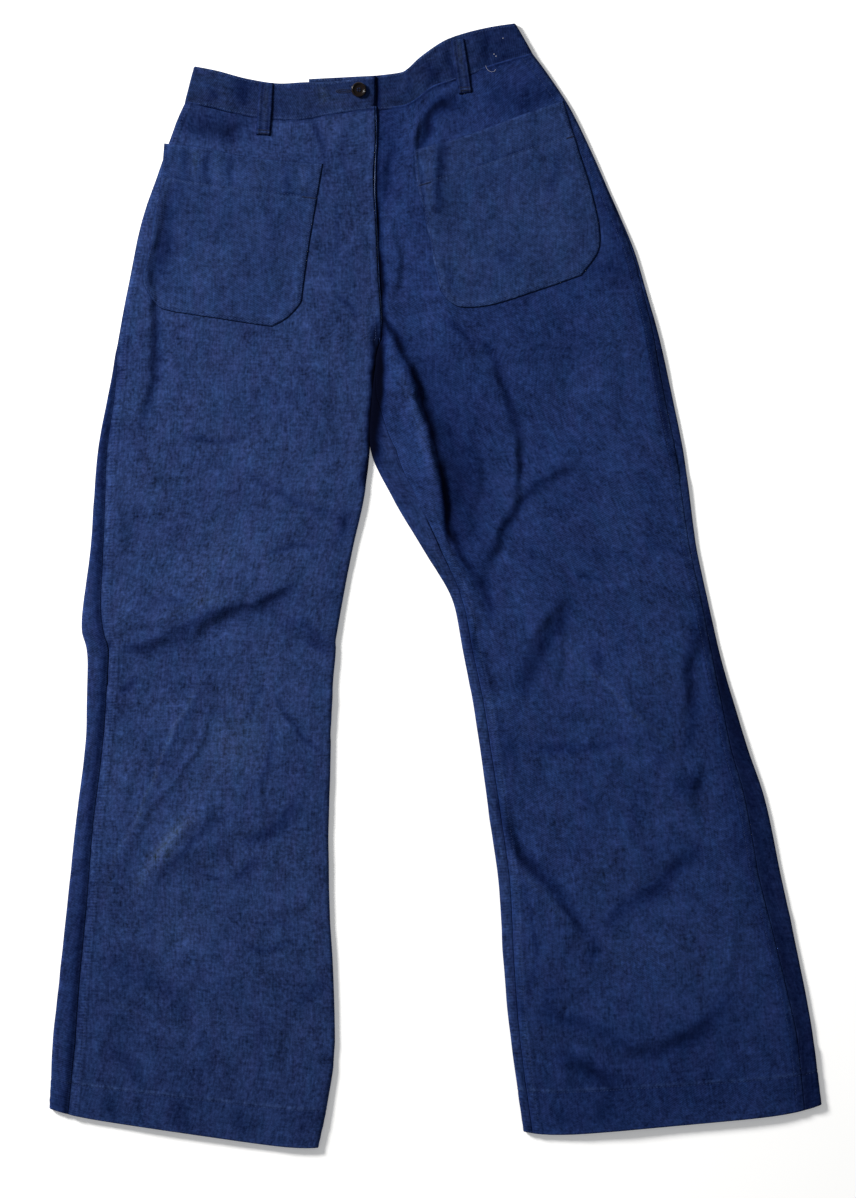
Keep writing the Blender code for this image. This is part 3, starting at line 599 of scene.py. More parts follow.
def goRound(section, way):
    # a way round the flattened loop as a share of its width and of its height
    full = abs(section["innerX"] - section["sideX"])
    length = wayLength(section)
    way = np.where(way > 2 * length, way - 2 * length, way)
    onTop = way <= length
    way = np.where(onTop, way, 2 * length - way)
    sideArc = cloth["sideRoll"] * cloth["arcPerRoll"]
    innerArc = section["roll"] * cloth["arcPerRoll"]
    sideTurn = np.clip(way / sideArc, 0, 1) * np.pi / 2
    innerTurn = np.clip((length - way) / np.maximum(innerArc, 1e-6), 0, 1) * np.pi / 2
    nearSide = way < sideArc
    nearInner = way > length - innerArc
    inwards = cloth["sideRoll"] + way - sideArc
    atInner = full - cloth["halfWall"] - innerGap(section) - section["roll"] * (1 - np.cos(innerTurn))
    inwards = np.where(nearInner, atInner, inwards)
    inwards = np.where(nearSide, cloth["sideRoll"] * (1 - np.cos(sideTurn)), inwards)
    rise = np.where(nearSide, np.sin(sideTurn), np.where(nearInner, np.sin(innerTurn), 1.0))
    return (cloth["halfWall"] + inwards) / full, 0.5 + np.where(onTop, 0.5, -0.5) * rise


def clothMiddle(half, place, way, upper):
    section = sectionAt(half, place)
    past = way - wayLength(section)
    level = section["roll"] == 0
    share, lift = goRound(section, way)
    beyond = level & (past > 0) & upper
    share = np.where(beyond, 1.0, share)
    lift = np.where(beyond, 1.0, lift)
    if not upper:
        lift = np.where(level & (past > -1) & (past < 0), 0.0, lift)
    x, y = planPoint(half, section, share)
    x = np.where(beyond, x - past, x)
    y = np.where(beyond, y + past * underlap["slope"], y)
    return onBoard(x, y, mixed(cloth["halfWall"], topHeight(half, section, share, x, y), lift))


def outwards(half, along, across):
    out = np.cross(along, across) if half["isRight"] else np.cross(across, along)
    return out / np.maximum(np.linalg.norm(out, axis=-1, keepdims=True), 1e-12)


def raised(middle, out, rise):
    # the face this far out from the cloth's middle, and above the floor
    face = middle + out * (rise * mm)[..., None]
    face[..., 2] = np.maximum(face[..., 2], cloth["aboveFloor"] * mm)
    return face


def upOf(grid):
    # the direction up from a grid that lies almost flat
    out = np.cross(np.gradient(grid, axis=0), np.gradient(grid, axis=1))
    out /= np.maximum(np.linalg.norm(out, axis=-1, keepdims=True), 1e-12)
    return out if out[10, 4, 2] > 0 else -out


def clothFace(half, place, way, upper, relief):
    # the outer face at single places, and its direction out
    last = len(half["sections"]) - 1
    middle = clothMiddle(half, place, way, upper)
    lower = clothMiddle(half, np.minimum(place + 0.02, last), way, upper)
    higher = clothMiddle(half, np.maximum(place - 0.02, 0), way, upper)
    across = clothMiddle(half, place, way + 0.4, upper) - clothMiddle(half, place, way - 0.4, upper)
    out = outwards(half, lower - higher, across)
    return raised(middle, out, cloth["halfWall"] + relief(half, place, way, middle)), out


# the cloth's own relief: seams, puckers, hems and soft waves

seams = {
    "outseamGroove": 1.15,
    "outseamWidth": 3.8,
    "softGroove": 0.5,
    "softWidth": 6.5,
    "inseamGroove": 0.35,
    "inseamWidth": 2.6,
    "allowance": 9.0,
    "allowanceRise": 0.55,
    "stitchInset": 7.5,
    "puckerPitch": 8.0,
    "puckerRise": 0.22,
}


def waviness(x, y, height):
    # soft lumps, and long shallow wrinkles that come and go
    loose = ease(height / 4.0)
    waves = 0.50 * softNoise(x, y, 62, 3) + 0.26 * softNoise(x + 0.4 * y, y, 27, 4)
    waves += 0.12 * softNoise(x, y - 0.3 * x, 12, 5)
    bentX = x + 16 * softNoise(x, y, 70, 6)
    bentY = y + 22 * softNoise(x, y, 64, 7)
    crest = 1 - 2.2 * abs(softNoise(bentX - 0.35 * bentY, 0.6 * bentY, 46, 8))
    cross = 1 - 2.4 * abs(softNoise(0.6 * bentX, bentY + 0.25 * bentX, 38, 9))
    strength = 0.5 + 0.5 * softNoise(x, y, 95, 10)
    waves += 0.55 * strength * np.maximum(crest, 0) + 0.40 * (1 - strength) * np.maximum(cross, 0)
    return loose * waves


def crispFolds(folds, x, y):
    # the same folds with an uneven line, a sharper crest and a broad tail
    bentX = x + 5 * softNoise(x, y, 34, 11) + 2.0 * softNoise(x, y, 13, 12)
    bentY = y + 5 * softNoise(x, y, 34, 13) + 2.0 * softNoise(x, y, 13, 14)
    sharp = [(line, width * 0.5, ridge * 0.5, drop * 0.55) for line, width, ridge, drop in folds]
    broad = [(line, width * 2.3, ridge * 0.5, drop * 0.60) for line, width, ridge, drop in folds]
    plain = [(line, width, ridge * 0.7, drop * 0.45) for line, width, ridge, drop in folds]
    return foldsHeight(sharp + broad + plain, bentX, bentY)


def asSeen(tone):
    # a tone as the eye sees it, turned into a share of the dye's own brightness
    return (1 + np.clip(0.88 * tone, -0.97, 0.3)) ** 2.2 - 1


# patches of painted shade where the amount is below zero, and of painted light where it is above
def shadeToneAt(shadeTones, x, y):
    total = np.zeros(x.shape)
    for middleX, middleY, across, down, turn, amount in shadeTones:
        angle = math.radians(turn)
        awayX = x - middleX + 4 * softNoise(x, y, 22, 15)
        awayY = y - middleY + 6 * softNoise(x, y, 26, 16)
        u = (awayX * math.cos(angle) + awayY * math.sin(angle)) / across
        v = (awayY * math.cos(angle) - awayX * math.sin(angle)) / down
        total += amount * np.exp(-(u * u + v * v))
    return total


# lines of painted shade, and paler lines of painted highlight
def shadeStrokesAt(shadeStrokes, x, y):
    bentX = x + 2.2 * softNoise(x, y, 19, 17) + 1.0 * softNoise(x, y, 7, 18)
    bentY = y + 2.2 * softNoise(x, y, 19, 27) + 1.0 * softNoise(x, y, 7, 28)
    patch = 0.85 + 0.45 * softNoise(x, y, 15, 19) + 0.15 * softNoise(x, y, 6, 20)
    total = np.zeros(x.shape)
    for points, left, right, amount in shadeStrokes:
        near = nearCurve(points, 3 * max(left, right) + 4, x, y)
        if not near.any():
            continue
        beside, progress = besideLine(points, bentX[near], bentY[near])
        reach = np.where(beside < 0, left, right)
        taper = np.sin(np.pi * np.clip(progress, 0, 1)) ** 0.7
        strength = mixed(patch[near], 1.0, min(1.0, 1.4 * abs(amount)))
        total[near] += amount * strength * taper * bump(beside, reach)
    return total


def puckers(down, distance, pitch, rise, reach, seed):
    phase = 2.2 * softNoise(down, distance * 0, 23, seed)
    strength = 0.6 + 0.4 * softNoise(down, distance * 0 + 9, 47, seed + 1)
    return rise * strength * np.sin(2 * np.pi * down / pitch + phase) * bump(distance, reach)


def seamRelief(distance, down, depth, width, seed):
    # distance is positive on the side that carries the doubled allowance
    relief = -depth * bump(distance, width)
    doubled = ease(distance / 1.2) * (1 - ease((distance - seams["allowance"]) / 2.2))
    relief += seams["allowanceRise"] * doubled
    relief -= 0.28 * bump(distance - seams["stitchInset"], 0.9) * (distance > 0)
    relief += puckers(down, distance - 5.5, seams["puckerPitch"], seams["puckerRise"], 5.0, seed)
    return relief


def hemRelief(depth, fromHem, acrossWay):
    inHem = 1 - ease((fromHem - depth) / 1.6)
    relief = 0.35 * inHem
    relief -= 0.45 * bump(fromHem - depth + 1.2, 1.1)
    relief -= 0.5 * bump(fromHem, 0.9)
    phase = 2 * softNoise(acrossWay, acrossWay * 0, 31, 41)
    roping = np.sin(2 * np.pi * (acrossWay + 0.7 * fromHem) / 11.0 + phase)
    return relief + 0.16 * roping * inHem * bump(fromHem - 20, 24)


def inseamShows(y):
    # the inseam is pressed flat near the crotch
    return 0.18 * ease((y - 385.0) / 30.0) + 0.82 * ease((y - 525.0) / 60.0)


def sewnRelief(half, place, middle, fromOutseam, fromInner):
    # what front and back have alike: soft waves, the side seam and the inseam
    x, y = boardPlace(middle)
    down = downAt(half, place)[0]
    relief = waviness(x, y, middle[..., 2] / mm)
    if half["isRight"]:
        return relief + seamRelief(fromOutseam, down, seams["outseamGroove"], seams["outseamWidth"], 21)
    relief += seamRelief(fromOutseam, down, seams["softGroove"], seams["softWidth"], 22)
    inseam = seamRelief(fromInner, down, seams["inseamGroove"], seams["inseamWidth"], 23)
    return relief + inseamShows(y) * inseam


def frontRelief(half, place, way, middle):
    section = sectionAt(half, place)
    x, y = boardPlace(middle)
    down, travelled = downAt(half, place)
    fromInner = wayLength(section) + section["inseam"] + section["lap"] - way
    relief = sewnRelief(half, place, middle, way - section["outseam"], fromInner)
    if half["isRight"]:
        overFly = 1 - ease((y - 330.0) / 14.0)
        relief += overFly * (0.35 * (1 - ease((fromInner - 4.0) / 3.0)) - 0.6 * bump(fromInner, 0.9))
        relief += overFly * puckers(down, fromInner - 4, 19.0, 0.3, 7.0, 31)
    relief += hemRelief(half["hemDepth"], travelled[-1] - down, way)
    uneven = 0.75 + 0.6 * softNoise(x, y, 24, 29)
    relief += 1.2 * crispFolds(half["creases"], x, y) + 0.72 * uneven * crispFolds(half["folds"], x, y)
    relief -= foldsHeight(half["folds"], x, y)
    return relief + 0.9 * np.clip(shadeStrokesAt(half["shadeStrokes"], x, y), -0.45, 0.3)


def backRelief(half, place, way, middle):
    section = sectionAt(half, place)
    x, y = boardPlace(middle)
    length = wayLength(section)
    down, travelled = downAt(half, place)
    fromOutseam = way - 2 * length - section["outseam"]
    relief = sewnRelief(half, place, middle, fromOutseam, length + section["inseam"] - way)
    if not half["isRight"]:
        height = middle[..., 2] / mm
        onStrip = ease((y - 350.0) / 25.0) * (1 - ease((y - 560.0) / 50.0)) * ease((height - 3) / 2)
        relief += onStrip * (0.40 * softNoise(x * 1.3, y, 10, 51) + 0.30 * softNoise(x, y * 1.4, 6, 52))
    return relief + hemRelief(half["hemDepth"], travelled[-1] - down, way)


# meshes

def spread(knots, counts):
    # steps between each pair of knots, along the last axis
    knots = [np.asarray(knot, float) for knot in knots]
    columns = [knots[0][..., None]]
    for first, second, count in zip(knots, knots[1:], counts):
        steps = (np.arange(count) + 1) / count
        columns.append(first[..., None] + (second - first)[..., None] * steps)
    return np.concatenate(columns, -1)


def gridPiece(name, points, marks, uv, outward, material):
    # a sheet through rows of points. marks are named numbers and uv the cloth's own flat place
    rows, columns = points.shape[:2]
    bm = bmesh.new()
    bmesh.ops.create_grid(bm, x_segments=columns - 1, y_segments=rows - 1, size=1.0)
    mesh = bpy.data.meshes.new(name)
    bm.to_mesh(mesh)
    bm.free()
    flat = np.empty(len(mesh.vertices) * 3)
    mesh.vertices.foreach_get("co", flat)
    flat = flat.reshape(-1, 3)
    column = np.rint((flat[:, 0] + 1) / 2 * (columns - 1)).astype(int)
    row = np.rint((flat[:, 1] + 1) / 2 * (rows - 1)).astype(int)
    mesh.vertices.foreach_set("co", points[row, column].ravel())
    corner = np.empty(len(mesh.loops), np.int32)
    mesh.loops.foreach_get("vertex_index", corner)
    while mesh.uv_layers:
        mesh.uv_layers.remove(mesh.uv_layers[0])
    layer = mesh.uv_layers.new(name="cloth")
    layer.uv.foreach_set("vector", uv[row, column][corner].astype(np.float32).ravel())
    for key, values in marks.items():
        attribute = mesh.attributes.new(key, "FLOAT", "POINT")
        attribute.data.foreach_set("value", values[row, column].astype(np.float32))
    mesh.update()
    normals = np.empty(len(mesh.polygons) * 3)
    mesh.polygons.foreach_get("normal", normals)
    facing = normals.reshape(-1, 3) @ np.asarray(outward, float)
    if facing[:len(facing) // 3].mean() < 0:
        mesh.flip_normals()
    mesh.shade_smooth()
    mesh.materials.append(material)
    piece = bpy.data.objects.new(name, mesh)
    bpy.context.collection.objects.link(piece)
    return piece


def giveWall(piece, thickness, inside=None, hemThickness=None):
    # cloth with a wall, and a thicker one where the mesh is marked as hem
    wall = piece.modifiers.new("wall", "SOLIDIFY")
    wall.thickness = (hemThickness or thickness) * mm
    wall.offset = -1.0
    if inside:
        piece.data.materials.append(inside)
        wall.material_offset = 1
    if hemThickness:
        hem = np.empty(len(piece.data.vertices))
        piece.data.attributes["hem"].data.foreach_get("value", hem)
        group = piece.vertex_groups.new(name="wall")
        group.add(np.flatnonzero(hem > 0.5).tolist(), 1.0, "REPLACE")
        group.add(np.flatnonzero(hem <= 0.5).tolist(), thickness / hemThickness, "REPLACE")
        wall.vertex_group = "wall"


def finished(piece, nodes):
    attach(piece, "root")
    if nodes:
        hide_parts(*nodes)
    return piece


def treeOf(pieces):
    # the pieces' outer faces, for laying things on them
    corners = []
    faces = []
    for piece in pieces:
        first = len(corners)
        corners += [vertex.co.copy() for vertex in piece.data.vertices]
        faces += [[first + index for index in face.vertices] for face in piece.data.polygons]
    return BVHTree.FromPolygons(corners, faces)


def layOn(tree, x, y, missing):
    # the height of the uppermost cloth at places on the board, and its direction out
    spots = onBoard(x, y, 0.0 * x)
    heights = np.full(spots.shape[:-1], float(missing))
    outs = np.zeros(spots.shape)
    outs[..., 2] = 1
    for index in np.ndindex(heights.shape):
        spot = spots[index]
        hit, normal = tree.ray_cast(Vector((spot[0], spot[1], 1.0)), Vector((0, 0, -1)))[:2]
        if hit is not None:
            heights[index] = hit.z / mm
            outs[index] = normal if normal.z > 0 else -normal
    return heights, outs


def spotOn(tree, x, y, missing, lift=0.0):
    # one place on the uppermost cloth, and its direction out
    x = np.array([float(x)])
    y = np.array([float(y)])
    heights, outs = layOn(tree, x, y, missing)
    return onBoard(x, y, heights + lift)[0], outs[0]


# shader maths

class Wire:
    # one output in a material's node tree. Sums of wires add their Math nodes.
    def __init__(self, tree, socket=None):
        self.tree = tree
        self.socket = socket

    def node(self, kind, settings=None, sockets=None, output=0):
        made = self.tree.nodes.new(kind)
        for name, value in (settings or {}).items():
            setattr(made, name, value)
        for key, value in (sockets or {}).items():
            if isinstance(value, Wire):
                self.tree.links.new(value.socket, made.inputs[key])
            else:
                made.inputs[key].default_value = value
        return Wire(self.tree, made.outputs[output])

    def maths(self, operation, first, second):
        return self.node("ShaderNodeMath", {"operation": operation}, {0: first, 1: second})

    def __add__(self, other):
        return self.maths("ADD", self, other)

    def __radd__(self, other):
        return self.maths("ADD", other, self)

    def __sub__(self, other):
        return self.maths("SUBTRACT", self, other)

    def __rsub__(self, other):
        return self.maths("SUBTRACT", other, self)

    def __mul__(self, other):
        return self.maths("MULTIPLY", self, other)

    def __rmul__(self, other):
        return self.maths("MULTIPLY", other, self)

    def blend(self, first, second):
        # a colour from first to second as this wire goes from 0 to 1
        settings = {"data_type": "RGBA", "clamp_factor": True}
        return self.node("ShaderNodeMix", settings, {0: self, 6: first, 7: second}, 2)

    def scaled(self, factor):
        # this colour, darker or paler
        settings = {"operation": "SCALE"}
        return self.node("ShaderNodeVectorMath", settings, {0: self, 3: factor})

    def times(self, colour):
        # this value of a fixed colour
        settings = {"operation": "SCALE"}
        return self.node("ShaderNodeVectorMath", settings, {0: colour, 3: self})

    def plus(self, colour):
        return self.node("ShaderNodeVectorMath", {"operation": "ADD"}, {0: self, 1: colour})

    def cloud(self, scale, detail):
        # soft lumps through the piece itself
        place = self.node("ShaderNodeTexCoord", {}, {}, 3)
        return self.node("ShaderNodeTexNoise", {}, {"Vector": place, "Scale": scale, "Detail": detail})

    def into(self, shader, name):
        self.tree.links.new(self.socket, shader.inputs[name])


def newMaterial(name, roughness, specular):
    material = bpy.data.materials.new(name)
    material.use_nodes = True
    shader = material.node_tree.nodes["Principled BSDF"]
    shader.inputs["Roughness"].default_value = roughness
    shader.inputs["Specular IOR Level"].default_value = specular
    return material, shader, Wire(material.node_tree)


# the colour that darker yarn and painted shade both go towards
deepDyeAndShade = (0.0003, 0.0008, 0.0055)
shadedDye = (-0.004, -0.002, 0.030)  # half shaded cloth turns bluer
denimLooks = {
    "frontRight": {
        "blue": (0.0134, 0.0302, 0.0965),
        "violet": (0.0164, 0.0282, 0.0948),
        "worn": (0.056, 0.098, 0.235),
        "grain": 1.0,
    },
    # a darker, bluer copy of the right front's denim: painted shade for the half further from the light
    "frontLeft": {
        "blue": (0.0104, 0.0260, 0.0930),
        "violet": (0.0130, 0.0242, 0.0912),
        "worn": (0.050, 0.092, 0.230),
        "grain": 0.88,
    },
    "back": {
        "blue": (0.0104, 0.0244, 0.0840),
        "violet": (0.0128, 0.0226, 0.0822),
        "worn": (0.048, 0.088, 0.215),
        "grain": 0.90,
    },
    # darker than the fronts' denim: painted shade over the waistband and the belt loops
    "band": {
        "blue": (0.0074, 0.0174, 0.0592),
        "violet": (0.0092, 0.0162, 0.0578),
        "worn": (0.050, 0.090, 0.220),
        "grain": 0.95,
    },
    "pocket": {
        "blue": (0.0112, 0.0270, 0.0885),
        "violet": (0.0138, 0.0252, 0.0868),
        "worn": (0.054, 0.098, 0.235),
        "grain": 0.78,
    },
}


def makeDenim(name, look):
    material, shader, start = newMaterial(name, 0.92, 0.03)
    flat = start.node("ShaderNodeUVMap", {"uv_map": "cloth"})

    def noise(across, down, detail, roughness, shift):
        sockets = {"Vector": flat, "Location": (shift, 2.7 * shift, 0), "Scale": (across, down, 1)}
        place = start.node("ShaderNodeMapping", {}, sockets)
        sockets = {"Vector": place, "Scale": 1.0, "Detail": detail, "Roughness": roughness}
        return start.node("ShaderNodeTexNoise", {"noise_dimensions": "2D"}, sockets)

    warp = noise(520, 46, 2.0, 0.55, 1.3)  # slubby yarns down the leg
    weft = noise(50, 520, 2.0, 0.55, 4.1)
    grain = noise(360, 330, 2.0, 0.6, 7.7)  # the speckle of dyed and undyed yarn
    tufts = noise(150, 140, 2.0, 0.6, 6.3)
    mottle = noise(62, 56, 2.0, 0.55, 2.9)
    patches = noise(24, 19, 2.0, 0.5, 9.2)
    broad = noise(8, 6, 1.0, 0.5, 3.7)
    tint = noise(75, 24, 2.0, 0.6, 5.5)
    twillPlace = start.node("ShaderNodeMapping", {}, {"Vector": flat, "Rotation": (0, 0, 1.1)})
    twill = start.node("ShaderNodeTexWave", {"wave_type": "BANDS", "bands_direction": "X"}, {
        "Vector": twillPlace, "Scale": 190.0, "Distortion": 1.2, "Detail": 1.0, "Detail Scale": 2.0})
    rungs = start.node("ShaderNodeTexWave", {"wave_type": "BANDS", "bands_direction": "Y"}, {
        "Vector": flat, "Scale": 102.0, "Distortion": 1.6, "Detail": 2.0, "Detail Scale": 3.0})
    # worn is wear; shade carries the pieces' painted shade and painted highlights
    worn, shade, ladder = (start.node("ShaderNodeAttribute", {"attribute_name": mark}, {}, 2)
                           for mark in ("worn", "shade", "ladder"))

    fine = 0.74 * (warp - 0.5) + 0.50 * (weft - 0.5) + 1.6 * (grain * grain - 0.26) + 0.09 * (twill - 0.5)
    coarse = 1.12 * (tufts * tufts - 0.26) + 0.72 * (mottle - 0.5) + 0.44 * (patches - 0.5)
    pattern = look["grain"] * fine + coarse + 0.20 * (broad - 0.5)
    pattern = pattern + ladder * (0.45 * rungs - 0.12)
    dye = (tint * 1.7 - 0.35).blend(look["blue"] + (1,), look["violet"] + (1,))
    rubbed = worn * (0.35 + 1.3 * grain)
    dye = rubbed.blend(dye, look["worn"] + (1,))
    amount = (1.0 + pattern) * (1.0 + shade)
    deep = (1.0 - amount).times(deepDyeAndShade)
    bluer = (shade * (0.0 - 1.0 - shade)).times(shadedDye)
    dye.scaled(amount).plus(deep).plus(bluer).into(shader, "Base Color")
    (0.86 + 0.12 * grain).into(shader, "Roughness")
    nap = 0.5 * warp + 0.8 * grain + 0.35 * twill + 0.5 * weft + 0.8 * ladder * rungs
    start.node("ShaderNodeBump", {}, {"Strength": 0.55, "Distance": 0.0005, "Height": nap}).into(
        shader, "Normal")
    return material


def makeInside():
    # the pale wrong side of the denim
    material, shader, start = newMaterial("denimInside", 0.92, 0.04)
    flat = start.node("ShaderNodeUVMap", {"uv_map": "cloth"})
    place = start.node("ShaderNodeMapping", {}, {"Vector": flat, "Scale": (500, 260, 1)})
    grain = start.node("ShaderNodeTexNoise", {"noise_dimensions": "2D"}, {
        "Vector": place, "Scale": 1.0, "Detail": 3.0, "Roughness": 0.6})
    grain.blend((0.10, 0.15, 0.27, 1), (0.30, 0.36, 0.48, 1)).into(shader, "Base Color")
    start.node("ShaderNodeBump", {}, {"Strength": 0.4, "Distance": 0.0004, "Height": grain}).into(
        shader, "Normal")
    return material


def makeThread(name, dark, pale, specular=0.12, scale=900.0):
    material, shader, start = newMaterial(name, 0.7, specular)
    start.cloud(scale, 2.0).blend(dark + (1,), pale + (1,)).into(shader, "Base Color")
    return material


def makePlastic():
    material, shader, start = newMaterial("buttonPlastic", 0.2, 0.16)
    cloud = start.cloud(260.0, 3.0)
    cloud.blend((0.0020, 0.0014, 0.0018, 1), (0.010, 0.006, 0.005, 1)).into(shader, "Base Color")
    (0.12 + 0.2 * cloud).into(shader, "Roughness")
    return material


rightDenim = makeDenim("denimFrontRight", denimLooks["frontRight"])
shadedLeftDenim = makeDenim("denimFrontLeftShaded", denimLooks["frontLeft"])
backDenim = makeDenim("denimBack", denimLooks["back"])
bandDenim = makeDenim("denimBand", denimLooks["band"])
pocketDenim = makeDenim("denimPocket", denimLooks["pocket"])
insideDenim = makeInside()
navyThread = makeThread("navyThread", (0.010, 0.020, 0.066), (0.036, 0.062, 0.165))
darkThread = makeThread("darkThread", (0.002, 0.004, 0.016), (0.009, 0.016, 0.052))
blackPlastic = makePlastic()
paleThread = makeThread("paleThread", (0.20, 0.21, 0.27), (0.44, 0.45, 0.52), 0.3, 1500.0)
print("materials made")


# the four leg panels

panels = {
    "frontRight": {
        "node": "front_right", "half": rightHalf, "upper": True, "restsOn": "backRight", "denim": rightDenim,
        "flat": (0.30, 1.10), "area": 0.270,
    },
    "frontLeft": {
        "node": "front_left", "half": leftHalf, "upper": True, "restsOn": "backLeft", "denim": shadedLeftDenim,
        "flat": (0.34, 1.12), "area": 0.290,
    },
    "backRight": {
        "node": "back_right", "half": rightHalf, "upper": False, "restsOn": "floor", "denim": backDenim,
        "flat": (0.33, 1.10), "area": 0.290,
    },
    "backLeft": {
        "node": "back_left", "half": leftHalf, "upper": False, "restsOn": "floor", "denim": backDenim,
        "flat": (0.37, 1.12), "area": 0.330,
    },
}


def rowPlaces(half, pitch):
    travelled = downAt(half, 0.0)[1]
    stitch = travelled[-1] - half["hemDepth"]
    knots = np.array([0, stitch - 5, stitch + 4, travelled[-1] - 4, travelled[-1]])
    gaps = np.diff(knots)
    counts = [round(gaps[0] / pitch), 8, round(gaps[2] / pitch), 4]
    down = spread(knots, counts)
    return np.interp(down, travelled, np.arange(len(travelled)))


def frontWays(section):
    length = wayLength(section)
    start = section["outseam"]
    end = length + section["inseam"] + section["lap"]
    knots = (start, start + 3, start + 13, end - 20, end - 10, end)
    middle = round((np.max(end - start) - 33) / cloth["columnPitch"])
    return spread(knots, (3, 9, middle, 5, 10))


def backWays(half, section):
    length = wayLength(section)
    start = length + section["inseam"]
    end = 2 * length + section["outseam"]
    sideArc = cloth["sideRoll"] * cloth["arcPerRoll"]
    innerArc = section["roll"] * cloth["arcPerRoll"]
    pastInner = np.maximum(length + innerArc, start + 4)
    knots = (start, np.minimum(start + 4, pastInner - 1), pastInner, 2 * length - sideArc, end)
    if half["isRight"]:
        return spread(knots, (3, 4, 34, 18))
    return spread(knots, (4, 22, 32, 18))


def seatReach(y):
    # how far each back panel comes over to meet the other along the seat seam
    edges = []
    for half in (rightHalf, leftHalf):
        table = np.array(half["sections"], float)
        edges.append(np.interp(y, table[:, 3], table[:, 2]))
    return np.maximum(0, 1.2 * (edges[1] - edges[0]) - 0.4) / 2 * (1 - ease((y - 318.0) / 12.0))


def makePanel(name, settings):
    half = settings["half"]
    upper = settings["upper"]
    places = rowPlaces(half, cloth["rowPitch" if upper else "backRowPitch"])
    section = sectionAt(half, places)
    ways = frontWays(section) if upper else backWays(half, section)
    place = np.broadcast_to(places[:, None], ways.shape)
    middle = clothMiddle(half, place, ways, upper)
    down, travelled = downAt(half, place)
    whole = sectionAt(half, place)
    length = wayLength(whole)
    x, y = boardPlace(middle)
    if upper:
        fromOutseam = ways - whole["outseam"]
        fromInner = length + whole["inseam"] + whole["lap"] - ways
    else:
        fromOutseam = 2 * length + whole["outseam"] - ways
        fromInner = ways - length - whole["inseam"]
        over = seatReach(y) * np.exp(-fromInner / 6.0) * mm
        middle[..., 0] += over if half["isRight"] else -over
    out = outwards(half, np.gradient(middle, axis=0), np.gradient(middle, axis=1))
    relief = (frontRelief if upper else backRelief)(half, place, ways, middle)
    face = raised(middle, out, cloth["halfWall"] + relief)
    fromHem = travelled[-1] - down
    patchy = 0.5 + 0.5 * softNoise(x * 2, y, 9, 61)
    worn = 0.34 * bump(fromOutseam - 2.0, 1.8) * patchy if upper else 0.10 * bump(fromOutseam, 3)
    worn = worn + 0.30 * bump(fromHem, 1.6) * patchy
    worn = worn + 0.34 * bump(fromHem - half["hemDepth"] - 0.6, 1.3) * patchy
    # painted shade in and beside the side seam's groove
    seamShade = 0.38 if half["isRight"] else 0.10 + 0.10 * ease((y - 540.0) / 70.0)
    shade = -seamShade * bump(fromOutseam + (2.0 if upper else -2.0), 5.5 if half["isRight"] else 8.0)
    # painted shade in the hem's stitch groove
    shade = shade - 0.12 * bump(fromHem - half["hemDepth"] + 1.2, 1.3)
    belowCrotch = inseamShows(y)
    if not half["isRight"]:
        # painted shade in the inseam's groove
        shade = shade - 0.08 * belowCrotch * bump(fromInner, 1.6)
        worn = worn + 0.12 * belowCrotch * bump(fromInner - 6, 3.5) * patchy
    shade = shade + 0.035 * softNoise(x, y, 45, 71) + 0.03 * softNoise(x, y, 16, 72)
    # the back's underside has none of the front's painted shade and highlights
    facingUp = ease((out[..., 2] + 0.45) / 0.6)
    shade = shade + facingUp * (shadeToneAt(half["shadeTones"], x, y) + shadeStrokesAt(half["shadeStrokes"], x, y))
    ladder = 0.8 * bump(fromOutseam - 6.0, 4.0) if upper and half["isRight"] else 0 * x
    if not half["isRight"]:
        ladder = ladder + 0.7 * belowCrotch * bump(fromInner - 5.0, 4.0)
        # painted shade over the left leg's outer side, which slopes away from the light, heaviest on the
        # back panel's strip
        strip = 0.24 if not upper else 0.16 * bump(fromOutseam, 12.0)
        shade = shade - facingUp * strip * ease((y - 560.0) / 90.0) * (fromOutseam < 40)
    # painted shadow just below the waistband's lower edge
    onFront = 1.0 if upper else ease((middle[..., 2] / mm - 1.6) / 1.5)
    shade = shade - 0.36 * bump(down - 4.0, 1.8) * onFront
    marks = {"worn": worn, "shade": asSeen(shade), "ladder": ladder}
    marks["hem"] = 1.0 * (fromHem < half["hemDepth"])
    fromStart = ways - length - whole["inseam"] if not upper else fromInner
    # each panel has its own part of the denim's pattern
    uv = np.stack((fromStart * mm, -down * mm), -1)
    uv += (1.37 if half["isRight"] else 0, 0 if upper else 2.11)
    outward = (0, 0, 1) if upper else (0, 0, -1)
    piece = gridPiece(name, face, marks, uv, outward, settings["denim"])
    giveWall(piece, cloth["wall"], insideDenim, cloth["hemWall"])
    finished(piece, [settings["node"]])
    print("panel", name, len(piece.data.polygons), "faces")
    return piece


panelPieces = {name: makePanel(name, settings) for name, settings in panels.items()}
frontTree = treeOf([panelPieces["frontRight"], panelPieces["frontLeft"]])


# waistband: one doubled strip from the overlap's end round the back to the underlap's end

band = {
    "wall": 2.0,
    "overSeam": 3.0,  # how far it comes down over the panels' upper edges
    "pitch": 3.0,
}


def bandSweep(half):
    # ribs and heights of one half, from the fly over the top and round to the centre back
    waist = sectionAt(half, np.array(0.0))
    length = float(wayLength(waist))
    steps = round(length / band["pitch"])
    over = spread((length, 8.0, 0.0), (steps, 8))
    under = spread((2 * length, 2 * length - 8.0, length + 0.2), (8, 60))
    ways = np.concatenate((over, under[1:]))
    share, lift = goRound(waist, ways)
    heights = mixed(band["wall"] / 2, bandHeight(half, share), lift)
    return ribAt(half, share), heights


